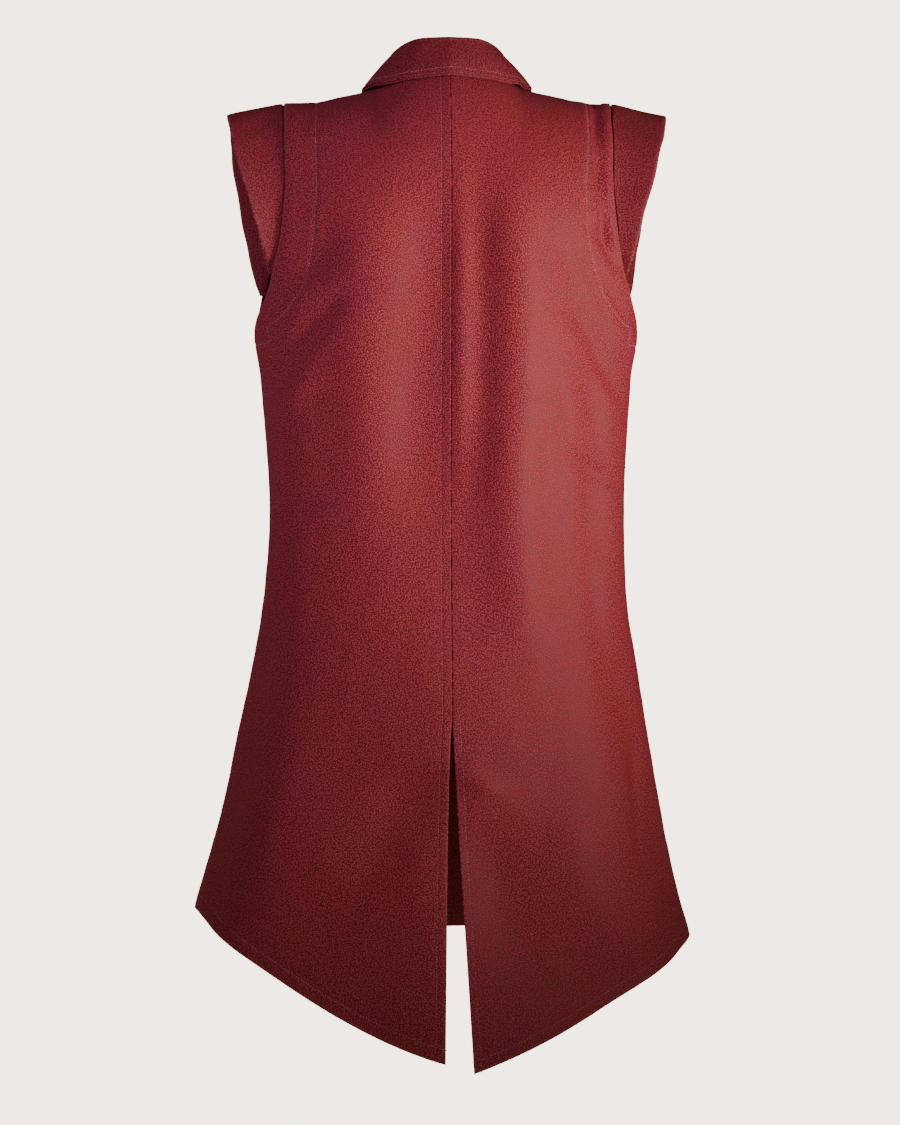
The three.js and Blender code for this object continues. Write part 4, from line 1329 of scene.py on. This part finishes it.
def brushed_twill(name, hollows, ends, rubbed, slant):
    """Brushed twill: colours of its hollows, fibre ends and worn edges, and its ribs' slant in degrees."""
    material = bpy.data.materials.new(name)
    tree = empty_tree(material)
    place = add_node(tree, "ShaderNodeUVMap", uv_map="cloth").outputs[0]
    in_mm = add_node(tree, "ShaderNodeVectorMath", {0: place, 1: [1 / MM] * 3},
                     operation="MULTIPLY").outputs[0]
    turn = (0, 0, math.radians(slant))
    ribs = add_node(tree, "ShaderNodeMapping", {"Vector": in_mm, "Rotation": turn}).outputs[0]
    rib = add_node(tree, "ShaderNodeTexWave",
                   {"Vector": ribs, "Scale": RIB_PERIOD / RIB_PITCH, "Distortion": 1.6, "Detail": 1.0,
                    "Detail Scale": 1.2}).outputs["Fac"]
    pebble = add_node(tree, "ShaderNodeTexVoronoi", {"Vector": in_mm, "Scale": 1 / PEBBLE},
                      voronoi_dimensions="2D").outputs["Distance"]
    spread = add_range(tree, pebble, *PEBBLE_SIDES)
    height = add_node(tree, "ShaderNodeMix", {0: PEBBLE_SHARE, 2: rib, 3: spread}).outputs[0]
    patch = add_node(tree, "ShaderNodeTexNoise",
                     {"Vector": in_mm, "Scale": 1 / PATCH, "Detail": 3.0, "Roughness": 0.55}).outputs["Fac"]
    shade = add_range(tree, patch, *PATCH_SHADES)
    deep, pale = (add_mix(tree, shade, *(linear(colour) for colour in pair)) for pair in (hollows, ends))
    woven = add_mix(tree, add_range(tree, height, *NAP_SHADES), deep, pale)
    edge = add_node(tree, "ShaderNodeAttribute", attribute_name="worn").outputs["Fac"]
    wear = add_product(tree, add_product(tree, edge, add_range(tree, spread, to_low=0.25)), EDGE_WEAR)
    colour = add_mix(tree, wear, woven, linear(rubbed))
    bump = add_node(tree, "ShaderNodeBump", {"Height": height, "Strength": 1, "Distance": NAP_HEIGHT})
    shader = add_node(tree, "ShaderNodeBsdfPrincipled",
                      {"Base Color": colour, "Roughness": 0.56, "Specular IOR Level": 0.26,
                       "Sheen Weight": 0.02, "Sheen Roughness": 0.5, "Sheen Tint": linear("#e8a0a4"),
                       "Normal": bump.outputs[0]})
    add_node(tree, "ShaderNodeOutputMaterial", {"Surface": shader.outputs[0]})
    return material


def cotton_thread(name, colour):
    """Twisted cotton thread: matt, a shade lighter than the cloth."""
    material = bpy.data.materials.new(name)
    tree = empty_tree(material)
    place = add_node(tree, "ShaderNodeTexCoord").outputs["Object"]
    twist = add_node(tree, "ShaderNodeTexNoise", {"Vector": place, "Scale": 1100, "Detail": 1}).outputs["Fac"]
    mixed = add_mix(tree, add_range(tree, twist, 0.3, 0.7), linear("#6e2a33"), linear(colour))
    shader = add_node(tree, "ShaderNodeBsdfPrincipled",
                      {"Base Color": mixed, "Roughness": 0.75, "Specular IOR Level": 0.3})
    add_node(tree, "ShaderNodeOutputMaterial", {"Surface": shader.outputs[0]})
    return material


TWILL = brushed_twill("brushed_cotton_twill", ("#560b15", "#550a1a"), ("#be424b", "#bc4051"), "#bd6a72", 38)
# Darker colours for the wings and the upper collar are painted shade; only the ribs' slant across the grain
# is the cloth's own.
CROSS_TWILL_PAINTED_SHADE = brushed_twill("brushed_cotton_twill_across_painted_shade", ("#500a13", "#4f0a18"), ("#ae3b44", "#ac3a4a"),
                            "#b0606a", -52)
UNDER_TWILL = brushed_twill("brushed_cotton_twill_under_collar", ("#4d0914", "#4c0919"),
                            ("#aa3c45", "#a83a4a"), "#a85a62", -38)
THREAD = cotton_thread("twisted_cotton_thread", "#cc8a8e")
# The wings and the upper collar take the darker copy of the twill, which paints shade on them.
CLOTH_OF = {"shoulder_wing_left": CROSS_TWILL_PAINTED_SHADE, "shoulder_wing_right": CROSS_TWILL_PAINTED_SHADE,
            "collar_upper": CROSS_TWILL_PAINTED_SHADE, "collar_under": UNDER_TWILL}
for name, piece in pieces.items():
    piece.data.materials.append(CLOTH_OF.get(name, TWILL))
for made in trims.values():
    for trim in made:
        trim.data.materials.append(UNDER_TWILL)
print("materials:", *(made.name for made in (TWILL, CROSS_TWILL_PAINTED_SHADE, UNDER_TWILL, THREAD)))


# %% Sewing the panels
THREAD_LIFT = 0.1


def seam_places(grid, key, line, lift):
    rows, cols = grid["lines"][line]
    place = read_grid(grid[key], rows, cols) + read_grid(grid["normals"], rows, cols) * lift
    return even_line(place, THREAD_STEP)


for (face, side), grid in panels.items():
    name = f"{face}_{side}"
    lines = [seam_places(grid, "outer", line, THREAD_LIFT) for line in grid["lines"]]
    lines += [seam_places(grid, "inner", line, -THREAD_LIFT) for line in ("hem", "centre")]
    stitches = sew(f"{name}_stitches", lines)
    trims[name].append(stitches)
    print(stitches.name, "triangles:", sum(len(p.vertices) - 2 for p in stitches.data.polygons))

collar_face = collar_outer["upper"]
cols = column_before(steps_back(collar_face, 1), COLLAR_STITCH)
rows = np.arange(len(collar_face), dtype=float)
line = read_grid(collar_face + grid_normals(collar_face) * THREAD_LIFT, rows, cols)
trims["collar_upper"].append(sew("collar_upper_stitches", [even_line(line, THREAD_STEP)]))


# %% [markdown]
# ## Fixing the pieces to the frame
#
# Each shell stands for its CAD node and rides on the one body that the garment has. The size that each
# panel was cut to is worked out and printed above; for a wing and a collar layer that is one face of the
# finished piece.

# %% Frame
for name, piece in pieces.items():
    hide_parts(name)
    for part in [piece, *trims[name]]:
        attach(part, "root")
